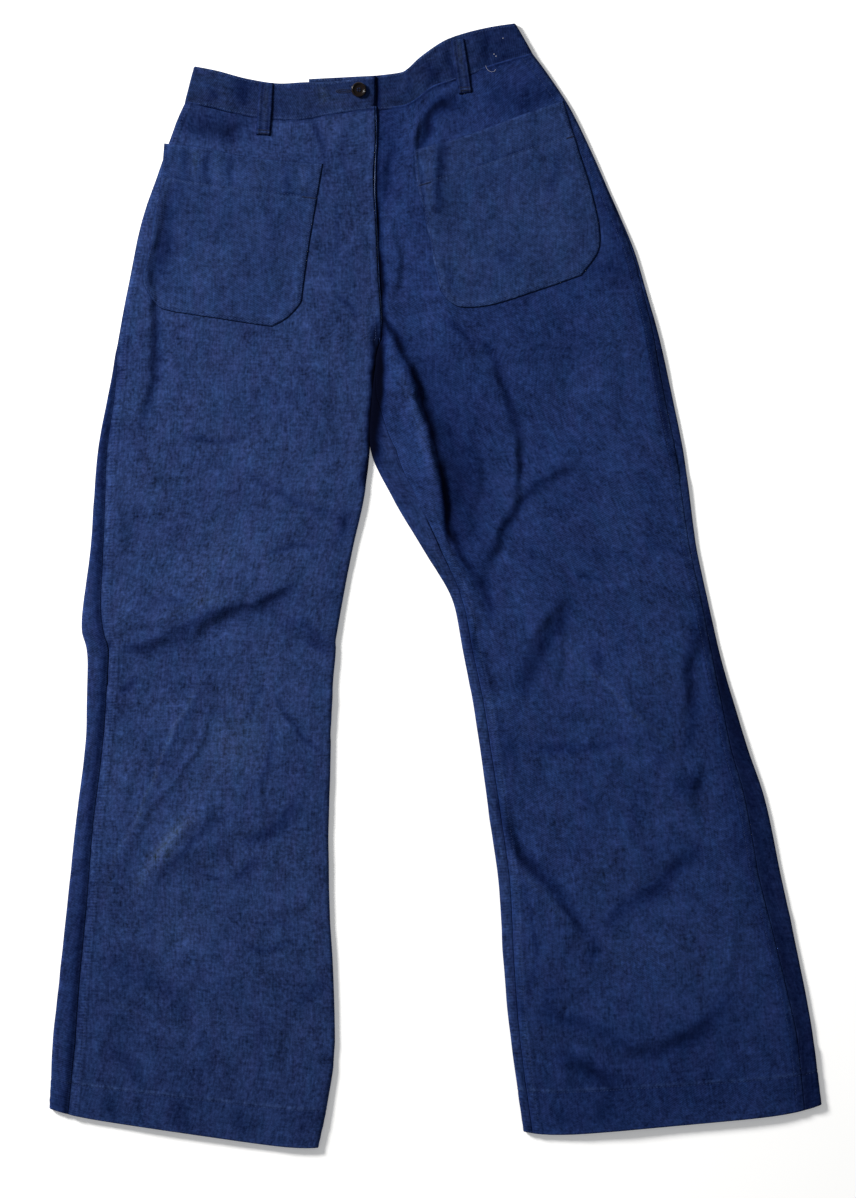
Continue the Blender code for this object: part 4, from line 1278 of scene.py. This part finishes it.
def makeBand():
    rightRibs, rightHeights = bandSweep(rightHalf)
    leftRibs, leftHeights = bandSweep(leftHalf)
    fly = leftRibs[0]
    share = ((np.arange(24) + 1) / 24)[:, None]
    end = np.array((underlap["endX"], underlap["seamY"], underlap["endX"], underlap["topY"]), float)
    tab = fly + (end - fly) * share
    ribs = np.concatenate((rightRibs, leftRibs[::-1], tab))
    heights = np.concatenate((rightHeights, leftHeights[::-1], np.full(24, leftHalf["bandLoft"])))
    span = np.hypot(ribs[:, 2] - ribs[:, 0], ribs[:, 3] - ribs[:, 1])
    inside = spread((-band["overSeam"], -band["overSeam"] + 2.5, 28.0, 31.0), (3, 9, 4)) / 31.0
    across = inside[None, :] * np.where(inside > 0, span[:, None], 31.0)
    x = ribs[:, 0:1] + (ribs[:, 2:3] - ribs[:, 0:1]) * across / span[:, None]
    y = ribs[:, 1:2] + (ribs[:, 3:4] - ribs[:, 1:2]) * across / span[:, None]
    middle = onBoard(x, y, heights[:, None] + 0 * x)
    steps = np.linalg.norm(np.diff(middle[:, 8], axis=0), axis=-1) / mm
    along = summed(steps)[:, None] + 0 * x
    fromTop = span[:, None] - across
    fromSeam = across + band["overSeam"]
    loose = ease((middle[..., 2] / mm - 1.2) / 2.5)
    relief = 0.30 * loose * softNoise(x * 1.1, y * 0.8, 24, 81) + 0.14 * loose * softNoise(x, y, 9, 82)
    relief += loose * foldsHeight(bandCreases, x, y)
    relief -= 0.75 * bump(fromTop, 1.1) + 0.7 * bump(fromSeam, 0.9)
    relief -= 0.16 * bump(fromTop - 3.4, 0.8) + 0.22 * bump(fromSeam - 2.6, 0.8)
    relief += puckers(along, fromSeam - 4, 9.0, 0.12, 5, 84) + puckers(along, fromTop - 5, 11.0, 0.10, 5, 85)
    fromEnd = np.minimum(along, along[-1:] - along)
    relief -= 0.6 * bump(fromEnd, 1.2)
    face = raised(middle, upOf(middle), band["wall"] / 2 + relief)
    patchy = 0.5 + 0.5 * softNoise(x * 2, y * 2, 8, 86)
    worn = 0.26 * bump(fromTop, 2.0) * patchy + 0.08 * bump(fromSeam - 2.6, 1.4) * patchy
    # painted shadow along the band's lower edge, and painted shade in the stitch groove under its top edge
    shade = -0.34 * bump(fromSeam, 1.2) - 0.08 * bump(fromTop - 3.4, 1.0)
    shade = shade + 0.05 * softNoise(x, y, 18, 87) + shadeToneAt(bandShadeTones, x, y)
    shade = shade + shadeStrokesAt(bandShadeStrokes, x, y)
    marks = {"worn": worn, "shade": asSeen(shade), "ladder": 0 * x}
    uv = np.stack((-across * mm + 3.3, along * mm), -1)
    piece = gridPiece("waistBand", face, marks, uv, (0, 0, 1), bandDenim)
    giveWall(piece, band["wall"] - 0.1)
    finished(piece, ["waistband"])
    return piece, face


bandCreases = [
    ([(452, 38), (446, 60), (452, 84)], 4, 0, 0.8),
    ([(428, 52), (438, 68), (430, 88)], 6, 0, 0.8),
    ([(480, 32), (484, 50), (478, 70)], 5, 0, 0.6),
    ([(236, 76), (232, 95), (238, 112)], 6, 0, 0.5),
    ([(212, 72), (214, 90), (208, 104)], 6, 0, 0.4),
    ([(318, 84), (322, 100), (318, 114)], 7, 0, 0.35),
]
# painted shade on the band by its creases and belt loops, with one paler patch of painted light
bandShadeTones = [
    (505, 45, 32, 24, 20, -0.22), (440, 80, 14, 24, 10, -0.14), (243, 92, 9, 16, 0, -0.22),
    (400, 92, 20, 18, 0, -0.06), (275, 100, 14, 20, 0, -0.08), (340, 96, 30, 12, 0, 0.06),
]
# painted shade in the band's creases and beside the belt loops, one paler painted highlight, and a painted
# shadow down the fly's edge
bandShadeStrokes = [
    ([(243, 76), (243, 92), (246, 106)], 4, 4, -0.20),
    ([(205, 81), (213, 92), (223, 100)], 1.6, 2, -0.26),
    ([(223, 83), (214, 93), (207, 104)], 1.6, 2, -0.20),
    ([(487, 30), (485, 48), (488, 68)], 2.6, 2.6, -0.36),
    ([(447, 46), (452, 70), (454, 92)], 2, 2, -0.30),
    ([(536, 47), (510, 57), (492, 65), (470, 71)], 3, 3, -0.34),
    ([(405, 70), (408, 86), (404, 102)], 3, 3, -0.16),
    ([(420, 62), (430, 74), (426, 92)], 3, 4, -0.14),
    ([(318, 86), (324, 98), (318, 112)], 4, 3, 0.14),
    ([(376.5, 70), (376.5, 92), (377, 112)], 1.0, 3.2, -0.80),
]
waistband, bandFace = makeBand()
print("waistband made")


# fly shield, behind the fly

def makeShield():
    places = np.interp(np.linspace(0, 1, 70), [0, 1], [0.0, 7.0])
    section = sectionAt(leftHalf, places)
    edge = section["innerX"] - section["lap"]
    share = np.linspace(0, 1, 16)[None, :]
    x = edge[:, None] - 32.0 * share
    y = section["innerY"][:, None] + (section["innerX"][:, None] - x) * underlap["slope"] + 0.3
    relief = 0.15 * softNoise(x, y, 20, 91)
    face = onBoard(x, y, 2.8 + 0.6 + relief)
    marks = {"worn": 0 * x, "shade": 0 * x, "ladder": 0 * x}
    piece = gridPiece("flyShield", face, marks, np.stack((x * mm, -y * mm), -1), (0, 0, 1), backDenim)
    giveWall(piece, cloth["wall"], insideDenim)
    return finished(piece, ["fly_shield"])


flyShield = makeShield()


# patch pockets

pockets = {
    "pocketRight": {
        "node": "pocket_right",
        "top": [(164.5, 144), (207, 149), (241, 156), (276, 161), (323, 164.5)],
        "right": [(323, 164.5), (318, 194), (309, 248), (303, 291), (301, 303), (288, 318), (272, 327)],
        "bottom": [(148, 293), (156, 304), (168, 311), (218, 319), (250, 324), (272, 327)],
        "left": [(164.5, 144), (161, 184), (156, 206), (150, 246), (143, 278), (148, 293)],
        "stitchTop": [(161, 179), (211, 186), (261, 191), (316, 199)],
        # the strokes and tones below are painted shade in the pocket's creases and along its side, with a
        # few paler painted highlights
        "shadeStrokes": [
            ([(186, 148), (183, 165), (184, 180)], 3, 3, -0.22),
            ([(209, 149), (207, 168), (209, 186)], 3, 3, -0.28),
            ([(233, 154), (231, 172), (233, 188)], 3.5, 3.5, -0.18),
            ([(288, 163), (287, 182), (289, 198)], 3.5, 3.5, -0.20),
            ([(167, 144), (165, 176)], 3, 3, -0.26),
            ([(196, 146), (195, 180)], 3, 3, 0.12),
            ([(220, 150), (219, 186)], 3, 3, 0.09),
            ([(260, 158), (259, 192)], 6, 6, 0.06),
            ([(302, 163), (304, 198)], 4, 4, 0.10),
            ([(178, 176), (171, 212), (162, 250), (150, 290)], 6, 10, -0.34),
            ([(188, 228), (195, 256)], 3, 4, -0.14),
            ([(262, 205), (272, 240), (262, 280)], 6, 8, -0.07),
        ],
        "shadeTones": [(215, 275, 40, 34, 0, 0.06), (150, 270, 8, 40, 8, -0.10)],
        "flat": (0.18, 0.19),
        "area": 0.0265,
    },
    "pocketLeft": {
        "node": "pocket_left",
        "top": [(414, 151.5), (423, 148), (458, 139), (494, 126), (529, 113), (563, 101.5)],
        "right": [(563, 101.5), (575, 140), (588, 180), (597, 215), (600, 240), (596, 256), (581, 276)],
        "bottom": [(440, 291), (449, 302), (463, 308), (494, 305), (544, 289), (581, 276)],
        "left": [(414, 151.5), (417, 185), (425, 220), (434, 265), (440, 291)],
        "stitchTop": [(416, 187), (447, 176), (481, 167), (527, 150), (575, 136)],
        # the strokes and tones below are painted shade in the pocket's creases, with a few paler painted
        # highlights
        "shadeStrokes": [
            ([(441, 122), (442, 150), (440, 180), (437, 216)], 3.5, 5, -0.40),
            ([(430, 138), (430, 175), (430, 208)], 3, 3, 0.10),
            ([(488, 124), (493, 142), (494, 162)], 3, 4, -0.17),
            ([(534, 106), (533, 130)], 3, 3, -0.13),
            ([(558, 150), (553, 176), (547, 202)], 3, 4, -0.20),
            ([(492, 232), (492, 260)], 2.5, 2.5, 0.10),
            ([(416, 154), (423, 182), (423, 220), (429, 251), (438, 283)], 2, 2.4, -0.32),
            ([(463, 300), (452, 280), (450, 262)], 4, 5, -0.12),
        ],
        "shadeTones": [(507, 264, 9, 12, 0, -0.13), (545, 215, 26, 40, 0, 0.05), (470, 250, 24, 30, 0, 0.03)],
        "flat": (0.18, 0.20),
        "area": 0.0270,
    },
}


def distanceTo(line, x, y):
    nearest = np.full(x.shape, 1e9)
    for (startX, startY), (endX, endY) in zip(line, line[1:]):
        runX = endX - startX
        runY = endY - startY
        along = np.clip(((x - startX) * runX + (y - startY) * runY) / (runX ** 2 + runY ** 2), 0, 1)
        nearest = np.minimum(nearest, np.hypot(x - startX - runX * along, y - startY - runY * along))
    return nearest


def pocketPlan(settings, s, t):
    # a smooth net between the four sides
    top = evenCurve(settings["top"], s)
    bottom = evenCurve(settings["bottom"], s)
    left = evenCurve(settings["left"], t)
    right = evenCurve(settings["right"], t)
    s = s[None, :, None]
    t = t[:, None, None]
    net = (1 - t) * top[None] + t * bottom[None] + (1 - s) * left[:, None] + s * right[:, None]
    corners = (1 - s) * (1 - t) * top[0] + s * (1 - t) * top[-1]
    corners = corners + (1 - s) * t * bottom[0] + s * t * bottom[-1]
    return net - corners


pocketEdge = {
    "mouth": 33.0,
    "step": 1.15,
    "fold": 8.0,
    "foldRise": 0.4,
    "stitchInset": 2.6,
}


def makePocket(name, settings):
    steps = spread((0, 0.08, 0.92, 1), (10, 56, 10))
    plan = pocketPlan(settings, steps, steps)
    x = plan[..., 0]
    y = plan[..., 1]
    under = layOn(frontTree, x, y, 5.0)[0]
    fromTop = distanceTo(settings["top"], x, y)
    sides = [evenCurve(settings[side], 40) for side in ("left", "bottom", "right")]
    fromSides = np.min([distanceTo(side, x, y) for side in sides], axis=0)
    folded = 1 - ease((fromSides - pocketEdge["fold"]) / 3.0)
    faced = 1 - ease((fromTop - pocketEdge["mouth"]) / 2.5)
    relief = pocketEdge["step"] + pocketEdge["foldRise"] * np.maximum(folded, faced)
    relief += 0.45 * ease(1 - fromTop / 14.0) * ease(fromSides / 20.0)
    relief -= 1.0 * bump(fromSides, 1.1) + 0.6 * bump(fromTop, 0.9) * (fromSides > 2)
    relief -= 0.30 * bump(fromSides - pocketEdge["stitchInset"], 0.8)
    relief -= 0.35 * bump(fromTop - pocketEdge["mouth"], 0.9)
    loose = ease((fromSides - 4) / 10.0)
    relief += loose * (0.30 * softNoise(x, y, 30, 95) + 0.12 * softNoise(x, y, 11, 96))
    relief += foldsHeight(pocketCreases, x, y) * loose
    shadeStrokes = shadeStrokesAt(settings["shadeStrokes"], x, y)
    relief += 0.8 * shadeStrokes * ease((fromSides - 1) / 4.0)
    face = onBoard(x, y, under + relief)
    patchy = 0.5 + 0.5 * softNoise(x * 2, y * 2, 9, 97)
    worn = 0.30 * bump(fromSides - 1.0, 1.3) * patchy + 0.12 * bump(fromTop - 0.8, 1.4) * patchy
    worn += 0.10 * bump(fromSides - 5, 2.5) * patchy + 0.10 * bump(fromTop - pocketEdge["mouth"] - 2, 2)
    # painted shade along the pocket's rim, its stitch line, its top edge and the hem of its mouth
    shade = -0.15 * bump(fromSides - pocketEdge["stitchInset"], 0.9) - 0.42 * bump(fromSides, 0.9)
    shade -= 0.24 * bump(fromTop - pocketEdge["mouth"], 1.1) + 0.25 * bump(fromTop, 0.8)
    shade += 0.03 * softNoise(x, y, 26, 98) + shadeToneAt(settings["shadeTones"], x, y) + shadeStrokes
    uv = np.stack((x * mm + 2.2, -y * mm + 1.1), -1)
    marks = {"worn": worn, "shade": asSeen(shade), "ladder": 0 * x}
    piece = gridPiece(name, face, marks, uv, (0, 0, 1), pocketDenim)
    giveWall(piece, cloth["wall"], insideDenim)
    finished(piece, [settings["node"]])
    print("pocket", name)
    return piece


pocketCreases = [
    ([(190, 150), (188, 168), (192, 188)], 4, 0, 0.5),
    ([(210, 150), (207, 170), (212, 192)], 4, 0, 0.45),
    ([(232, 156), (229, 172), (232, 186)], 5, 0, 0.3),
    ([(294, 165), (296, 180), (292, 196)], 4, 0, 0.35),
    ([(240, 196), (250, 230), (240, 270)], 14, 0.3, 0.3),
    ([(450, 160), (455, 200), (448, 240)], 9, 0, 0.4),
    ([(540, 118), (520, 160), (510, 200)], 12, 0, 0.4),
]
pocketPieces = {name: makePocket(name, settings) for name, settings in pockets.items()}
coverTree = treeOf([panelPieces["frontRight"], panelPieces["frontLeft"], waistband]
                   + list(pocketPieces.values()))


# belt loops

beltLoops = {
    "beltLoopRight": {"node": "belt_loop_right", "top": (267, 83), "bottom": (263.5, 136), "width": 14.5},
    "beltLoopLeft": {"node": "belt_loop_left", "top": (457.5, 39.5), "bottom": (465.5, 94), "width": 13.5},
}


def makeLoop(name, settings):
    start = np.array(settings["top"], float)
    end = np.array(settings["bottom"], float)
    run = end - start
    length = np.hypot(*run)
    side = np.array((-run[1], run[0])) / length
    share = spread((0, 0.08, 0.9, 1), (6, 34, 7))[:, None]
    spot = spread((-1, -0.8, 0.8, 1), (4, 12, 4))[None, :]
    x = start[0] + run[0] * share + side[0] * spot * settings["width"] / 2
    y = start[1] + run[1] * share + side[1] * spot * settings["width"] / 2
    under = layOn(coverTree, x, y, 4.0)[0]
    base = np.max(under, axis=1, keepdims=True)
    smooth = np.array([0.1, 0.2, 0.4, 0.2, 0.1])
    base = np.convolve(np.pad(base[:, 0], 2, mode="edge"), smooth, mode="valid")[:, None]
    arch = np.sin(np.pi * np.clip(share, 0, 1)) ** 0.7
    height = base + 0.9 + 0.8 * arch
    relief = 0.45 * bump(abs(spot) - 0.72, 0.16) - 0.9 * ease((abs(spot) - 0.86) / 0.14)
    relief = relief - 0.25 * bump(abs(spot) - 0.5, 0.09)
    relief = relief + 0.14 * softNoise(share * length, spot * 7, 7, 101)
    fromFoot = (1 - share) * length
    relief = relief + 0.5 * bump(fromFoot - 3.5, 3.0) - 0.5 * bump(fromFoot, 0.9)
    relief = relief - 0.35 * bump(fromFoot - 6.5, 1.1)
    face = onBoard(x, y, height + relief)
    face[0, :, 2] = face[0, :, 2] - 2.2 * mm
    face[1, :, 2] = face[1, :, 2] - 0.9 * mm
    patchy = 0.5 + 0.5 * softNoise(x * 3, y * 3, 8, 102)
    worn = 0.12 * bump(abs(spot) - 0.7, 0.10) * patchy + 0.16 * bump(fromFoot - 3, 2.0) * patchy
    # painted shade down both long edges and across the foot's tacks, and a painted highlight down the puffed
    # middle
    shade = -0.16 * bump(abs(spot) - 0.5, 0.10) - 0.24 * ease((abs(spot) - 0.66) / 0.34)
    shade = shade - 0.30 * bump(fromFoot - 0.5, 1.2) - 0.24 * bump(fromFoot - 6.5, 1.2)
    shade = shade + 0.08 * softNoise(x, y, 9, 103) + 0.10 * bump(spot + 0.1, 0.35)
    uv = np.stack((spot * 7 * mm + 0 * share + 4.4, share * length * mm + 0 * spot), -1)
    marks = {"worn": worn + 0 * x, "shade": asSeen(shade), "ladder": 0 * x}
    piece = gridPiece(name, face, marks, uv, (0, 0, 1), bandDenim)
    giveWall(piece, 1.5)
    return finished(piece, [settings["node"]])


loopPieces = {name: makeLoop(name, settings) for name, settings in beltLoops.items()}
print("belt loops made")


# button

button = {
    "centre": (359.0, 90.8),
    # radius and height of the turned face, in millimetres
    "profile": [
        (0.0, 0.0), (4.6, 0.0), (6.3, 0.5), (7.2, 1.3), (7.5, 2.1), (7.4, 2.8), (7.0, 3.25), (6.4, 3.4),
        (5.9, 3.3), (5.5, 2.9), (5.1, 2.35), (4.4, 2.05), (3.2, 1.95), (1.6, 2.0), (0.0, 2.05),
    ],
}


def makeBall():
    bm = bmesh.new()
    bmesh.ops.create_uvsphere(bm, u_segments=6, v_segments=4, radius=1.0)
    mesh = bpy.data.meshes.new("ball")
    bm.to_mesh(mesh)
    bm.free()
    return mesh


ball = makeBall()


def addBall(bm, centre, forward, out, sizes):
    # a small rounded stitch: its length, width and height along the given directions
    forward = Vector(forward).normalized()
    out = Vector(out).normalized()
    side = out.cross(forward).normalized()
    out = forward.cross(side)
    turn = Matrix((forward, side, out)).transposed().to_4x4()
    scale = Matrix.Diagonal((sizes[0] / 2 * mm, sizes[1] / 2 * mm, sizes[2] / 2 * mm, 1))
    placed = ball.copy()
    placed.transform(Matrix.Translation(Vector(centre)) @ turn @ scale)
    bm.from_mesh(placed)
    bpy.data.meshes.remove(placed)


def meshPiece(name, bm, material):
    mesh = bpy.data.meshes.new(name)
    bm.to_mesh(mesh)
    bm.free()
    mesh.shade_smooth()
    mesh.materials.append(material)
    piece = bpy.data.objects.new(name, mesh)
    bpy.context.collection.objects.link(piece)
    return finished(piece, [])


def makeButton():
    centreX = (button["centre"][0] - boardCentre[0]) * mm
    centreY = (boardCentre[1] - button["centre"][1]) * mm
    turns = np.linspace(0, 2 * np.pi, 13)
    x = button["centre"][0] + np.outer(np.array((0, 4, 7)), np.cos(turns))
    y = button["centre"][1] + np.outer(np.array((0, 4, 7)), np.sin(turns))
    base = float(layOn(coverTree, x, y, 7.0)[0].max()) + 0.1
    bm = bmesh.new()
    verts = [bm.verts.new((centreX + r * mm, centreY, (base + h) * mm)) for r, h in button["profile"]]
    edges = [bm.edges.new(pair) for pair in zip(verts, verts[1:])]
    bmesh.ops.spin(bm, geom=verts + edges, cent=(centreX, centreY, 0), axis=(0, 0, 1),
                   angle=2 * math.pi, steps=56, use_merge=True)
    bmesh.ops.remove_doubles(bm, verts=bm.verts[:], dist=0.01 * mm)
    bmesh.ops.recalc_face_normals(bm, faces=bm.faces[:])
    piece = meshPiece("buttonDisc", bm, blackPlastic)
    piece.data.set_sharp_from_angle(angle=1.2)
    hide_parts("button")
    threads = bmesh.new()
    top = (base + 2.25) * mm
    for index in range(4):
        angle = math.pi / 4 + index * math.pi / 2
        spot = Vector((centreX + 1.5 * mm * math.cos(angle), centreY + 1.5 * mm * math.sin(angle), top))
        along = Vector((-math.sin(angle), math.cos(angle), 0))
        for shift in (-0.35, 0.0, 0.35):
            place = spot + Vector((math.cos(angle), math.sin(angle), 0)) * shift * mm
            addBall(threads, place, along, (0, 0, 1), (2.9, 0.42, 0.7))
    meshPiece("buttonThread", threads, darkThread)


makeButton()
print("button made")


# stitching

stitch = {
    "pitch": 3.1,
    "length": 2.3,
    "width": 0.55,
    "height": 0.5,
    "sink": 0.05,
}


def sewAlong(bm, points, outs, pitch=stitch["pitch"], length=stitch["length"], width=stitch["width"]):
    # stitches at an even pitch along a line of points
    steps = np.linalg.norm(np.diff(points, axis=0), axis=-1) / mm
    travelled = summed(steps)
    count = int(travelled[-1] / pitch)
    wanted = (np.arange(count) + 0.5) * pitch
    places = rowsAt(wanted, travelled, points)
    ahead = rowsAt(wanted + 0.6, travelled, points)
    ups = rowsAt(wanted, travelled, outs)
    for place, front, up in zip(places, ahead, ups):
        forward = front - place
        if np.linalg.norm(forward) < 1e-9:
            continue
        addBall(bm, place - up * stitch["sink"] * mm, forward, up, (length, width, stitch["height"]))


def boardLine(tree, line, count=None):
    points = evenCurve(line, count or max(3, round(sum(
        math.hypot(b[0] - a[0], b[1] - a[1]) for a, b in zip(line, line[1:])) / 2)))
    heights, outs = layOn(tree, points[:, 0], points[:, 1], 3.0)
    return onBoard(points[:, 0], points[:, 1], heights), outs


def besideOutseam(section):
    return section["outseam"] + seams["stitchInset"]


def besideInseam(section):
    return wayLength(section) + section["inseam"] + section["lap"] - seams["stitchInset"]


seamLines = {
    "stitchOutseamRight": {"half": rightHalf, "first": 0.15, "way": besideOutseam},
    "stitchOutseamLeft": {"half": leftHalf, "first": 0.15, "way": besideOutseam},
    "stitchInseamLeft": {"half": leftHalf, "first": 13.0, "way": besideInseam},
}


def sewSeams():
    for name, settings in seamLines.items():
        half = settings["half"]
        first = settings["first"]
        last = len(half["sections"]) - 1 - 0.01
        places = np.linspace(first, last, max(2, round((last - first) * 14)))
        bm = bmesh.new()
        ways = settings["way"](sectionAt(half, places))
        sewAlong(bm, *clothFace(half, places, ways, True, frontRelief))
        meshPiece(name, bm, navyThread)
    bm = bmesh.new()
    for half in (rightHalf, leftHalf):
        travelled = downAt(half, 0.0)[1]
        place = np.interp(travelled[-1] - half["hemDepth"] + 1.2, travelled, np.arange(len(travelled)))
        section = sectionAt(half, place)
        start = float(section["outseam"])
        length = float(wayLength(section))
        seam = length + float(section["inseam"])
        ways = np.linspace(start + 1, seam - 1, 120)
        sewAlong(bm, *clothFace(half, place + 0 * ways, ways, True, frontRelief))
        ways = np.linspace(seam + 1, 2 * length + start - 1, 120)
        sewAlong(bm, *clothFace(half, place + 0 * ways, ways, False, backRelief))
    meshPiece("stitchHems", bm, navyThread)


def sewPockets():
    for name, settings in pockets.items():
        bm = bmesh.new()
        left, bottom, right = (evenCurve(settings[side], 60) for side in ("left", "bottom", "right"))
        line = np.concatenate((left, bottom[1:], right[-2::-1]))
        centre = line.mean(axis=0)
        along = np.gradient(line, axis=0)
        side = np.stack((-along[:, 1], along[:, 0]), -1)
        side /= np.linalg.norm(side, axis=-1, keepdims=True)
        side *= np.sign(np.sum(side * (centre - line), axis=-1, keepdims=True))
        inner = line + side * pocketEdge["stitchInset"]
        heights, outs = layOn(coverTree, inner[:, 0], inner[:, 1], 6.0)
        sewAlong(bm, onBoard(inner[:, 0], inner[:, 1], heights), outs, 2.9, 2.1)
        sewAlong(bm, *boardLine(coverTree, settings["stitchTop"]))
        meshPiece("stitch" + name[0].upper() + name[1:], bm, navyThread)


def sewBand():
    bm = bmesh.new()
    out = upOf(bandFace)
    for column in (3, 13):
        sewAlong(bm, bandFace[1:-1, column], out[1:-1, column])
    meshPiece("stitchBand", bm, navyThread)


def sewTacks():
    # bar tacks, the small box under the fly, and the buttonhole
    bm = bmesh.new()
    tacks = [
        ((302, 197.5), (317, 199.3)), ((419, 186.5), (431, 183)), ((566, 139.5), (575, 136.5)),
        ((258, 130.5), (270, 131.5)), ((459.5, 88.5), (471, 88)),
        ((259, 134), (269, 134.6)), ((460, 91.5), (471, 91)),
    ]
    tackTree = treeOf(list(loopPieces.values()) + list(pocketPieces.values()))
    for start, end in tacks:
        points, outs = boardLine(tackTree, [start, end], 12)
        run = (points[-1] - points[0]) / np.linalg.norm(points[-1] - points[0])
        count = round(float(np.linalg.norm(points[-1] - points[0])) / mm / 0.75)
        for index in range(count):
            share = (index + 0.5) / count
            place = points[0] + (points[-1] - points[0]) * share
            place[2] = np.interp(share, np.linspace(0, 1, 12), points[:, 2])
            out = outs[min(11, int(share * 12))]
            addBall(bm, place, np.cross(run, out), out, (2.0, 0.75, 0.55))
    meshPiece("barTacks", bm, darkThread)
    bm = bmesh.new()
    box = [(362, 307), (374, 306), (376, 340), (364, 341), (362, 307)]
    for start, end in zip(box, box[1:]):
        sewAlong(bm, *boardLine(frontTree, [start, end], 14), 2.6, 2.0)
    for start, end in (((368, 300), (369, 252)), ((367, 340), (366, 322))):
        sewAlong(bm, *boardLine(frontTree, [start, end], 14), 2.8, 2.0)
    meshPiece("stitchFly", bm, navyThread)
    bm = bmesh.new()
    bandTree = treeOf([waistband])
    for index in range(44):
        turn = 2 * math.pi * index / 44
        spot, out = spotOn(bandTree, 343.5 + 7.2 * math.cos(turn), 92.2 + 1.7 * math.sin(turn), 7.0)
        addBall(bm, spot, (math.cos(turn) * 0.45, -math.sin(turn), 0), out, (1.9, 0.8, 0.6))
    for x in np.linspace(338.5, 348.5, 8):
        spot, out = spotOn(bandTree, x, 92.2, 7.0, 0.1)
        addBall(bm, spot, (1, 0, 0), out, (2.4, 1.5, 0.5))
    meshPiece("buttonhole", bm, darkThread)


sewSeams()
sewPockets()
sewBand()
sewTacks()
print("stitching made")


# a wisp of pale thread and three specks of lint caught on the band

def makeLintBits():
    bm = bmesh.new()
    wisp = [(485.5, 66.5), (487.5, 70.5), (491, 72.6), (494.5, 72.0), (495.6, 69.5)]
    points, outs = boardLine(coverTree, wisp, 12)
    points[:, 2] += 0.3 * mm
    sewAlong(bm, points, outs, 0.8, 1.1, 0.34)
    for x, y in ((494, 55), (503, 39), (496, 57)):
        spot, out = spotOn(coverTree, x, y, 6.0, 0.2)
        addBall(bm, spot, (1, 0.5, 0), out, (1.3, 0.8, 0.4))
    meshPiece("lint", bm, paleThread)


makeLintBits()


# floor, light and camera

studio = {
    "view": (428.0, 599.0),  # the middle of the photograph, on the board
    "frameHeight": 1.198,
    "cameraHeight": 4.0,
    "keyPlace": (-2.60, 1.75, 1.75),
    "keySize": 1.0,
    "keyPower": 250.0,
    "fill": 0.26,
    "floorGlow": 0.22,
}


def makeStudio():
    material, shader, start = newMaterial("paleFloor", 0.85, 0.1)
    start.cloud(3.0, 3.0).blend((0.89, 0.89, 0.89, 1), (0.91, 0.91, 0.91, 1)).into(shader, "Base Color")
    shader.inputs["Emission Color"].default_value = (1, 1, 1, 1)
    shader.inputs["Emission Strength"].default_value = studio["floorGlow"]
    bm = bmesh.new()
    bmesh.ops.create_grid(bm, x_segments=2, y_segments=2, size=6.0)
    bmesh.ops.translate(bm, verts=bm.verts[:], vec=(0, 0, -0.0003))
    mesh = bpy.data.meshes.new("floor")
    bm.to_mesh(mesh)
    bm.free()
    mesh.materials.append(material)
    floor = bpy.data.objects.new("floor", mesh)
    bpy.context.collection.objects.link(floor)

    scene = bpy.context.scene
    world = bpy.data.worlds.new("studio")
    world.use_nodes = True
    background = world.node_tree.nodes["Background"]
    background.inputs["Color"].default_value = (0.96, 0.98, 1.0, 1)
    background.inputs["Strength"].default_value = studio["fill"]
    scene.world = world
    lamp = bpy.data.lights.new("key", "AREA")
    lamp.shape = "DISK"
    lamp.size = studio["keySize"]
    lamp.energy = studio["keyPower"]
    lamp.color = (1.0, 0.985, 0.96)
    key = bpy.data.objects.new("key", lamp)
    key.location = studio["keyPlace"]
    aim = Vector((0, 0, 0)) - key.location
    key.rotation_euler = aim.to_track_quat("-Z", "Y").to_euler()
    bpy.context.collection.objects.link(key)

    lens = bpy.data.cameras.new("camera")
    lens.sensor_fit = "VERTICAL"
    lens.sensor_height = 24.0
    lens.lens = 24.0 * studio["cameraHeight"] / studio["frameHeight"]
    lens.clip_start = 0.1
    lens.clip_end = 50.0
    camera = bpy.data.objects.new("camera", lens)
    camera.location = ((studio["view"][0] - boardCentre[0]) * mm,
                       (boardCentre[1] - studio["view"][1]) * mm, studio["cameraHeight"])
    bpy.context.collection.objects.link(camera)
    scene.camera = camera
    scene.view_settings.view_transform = "Standard"


makeStudio()
print("studio made")
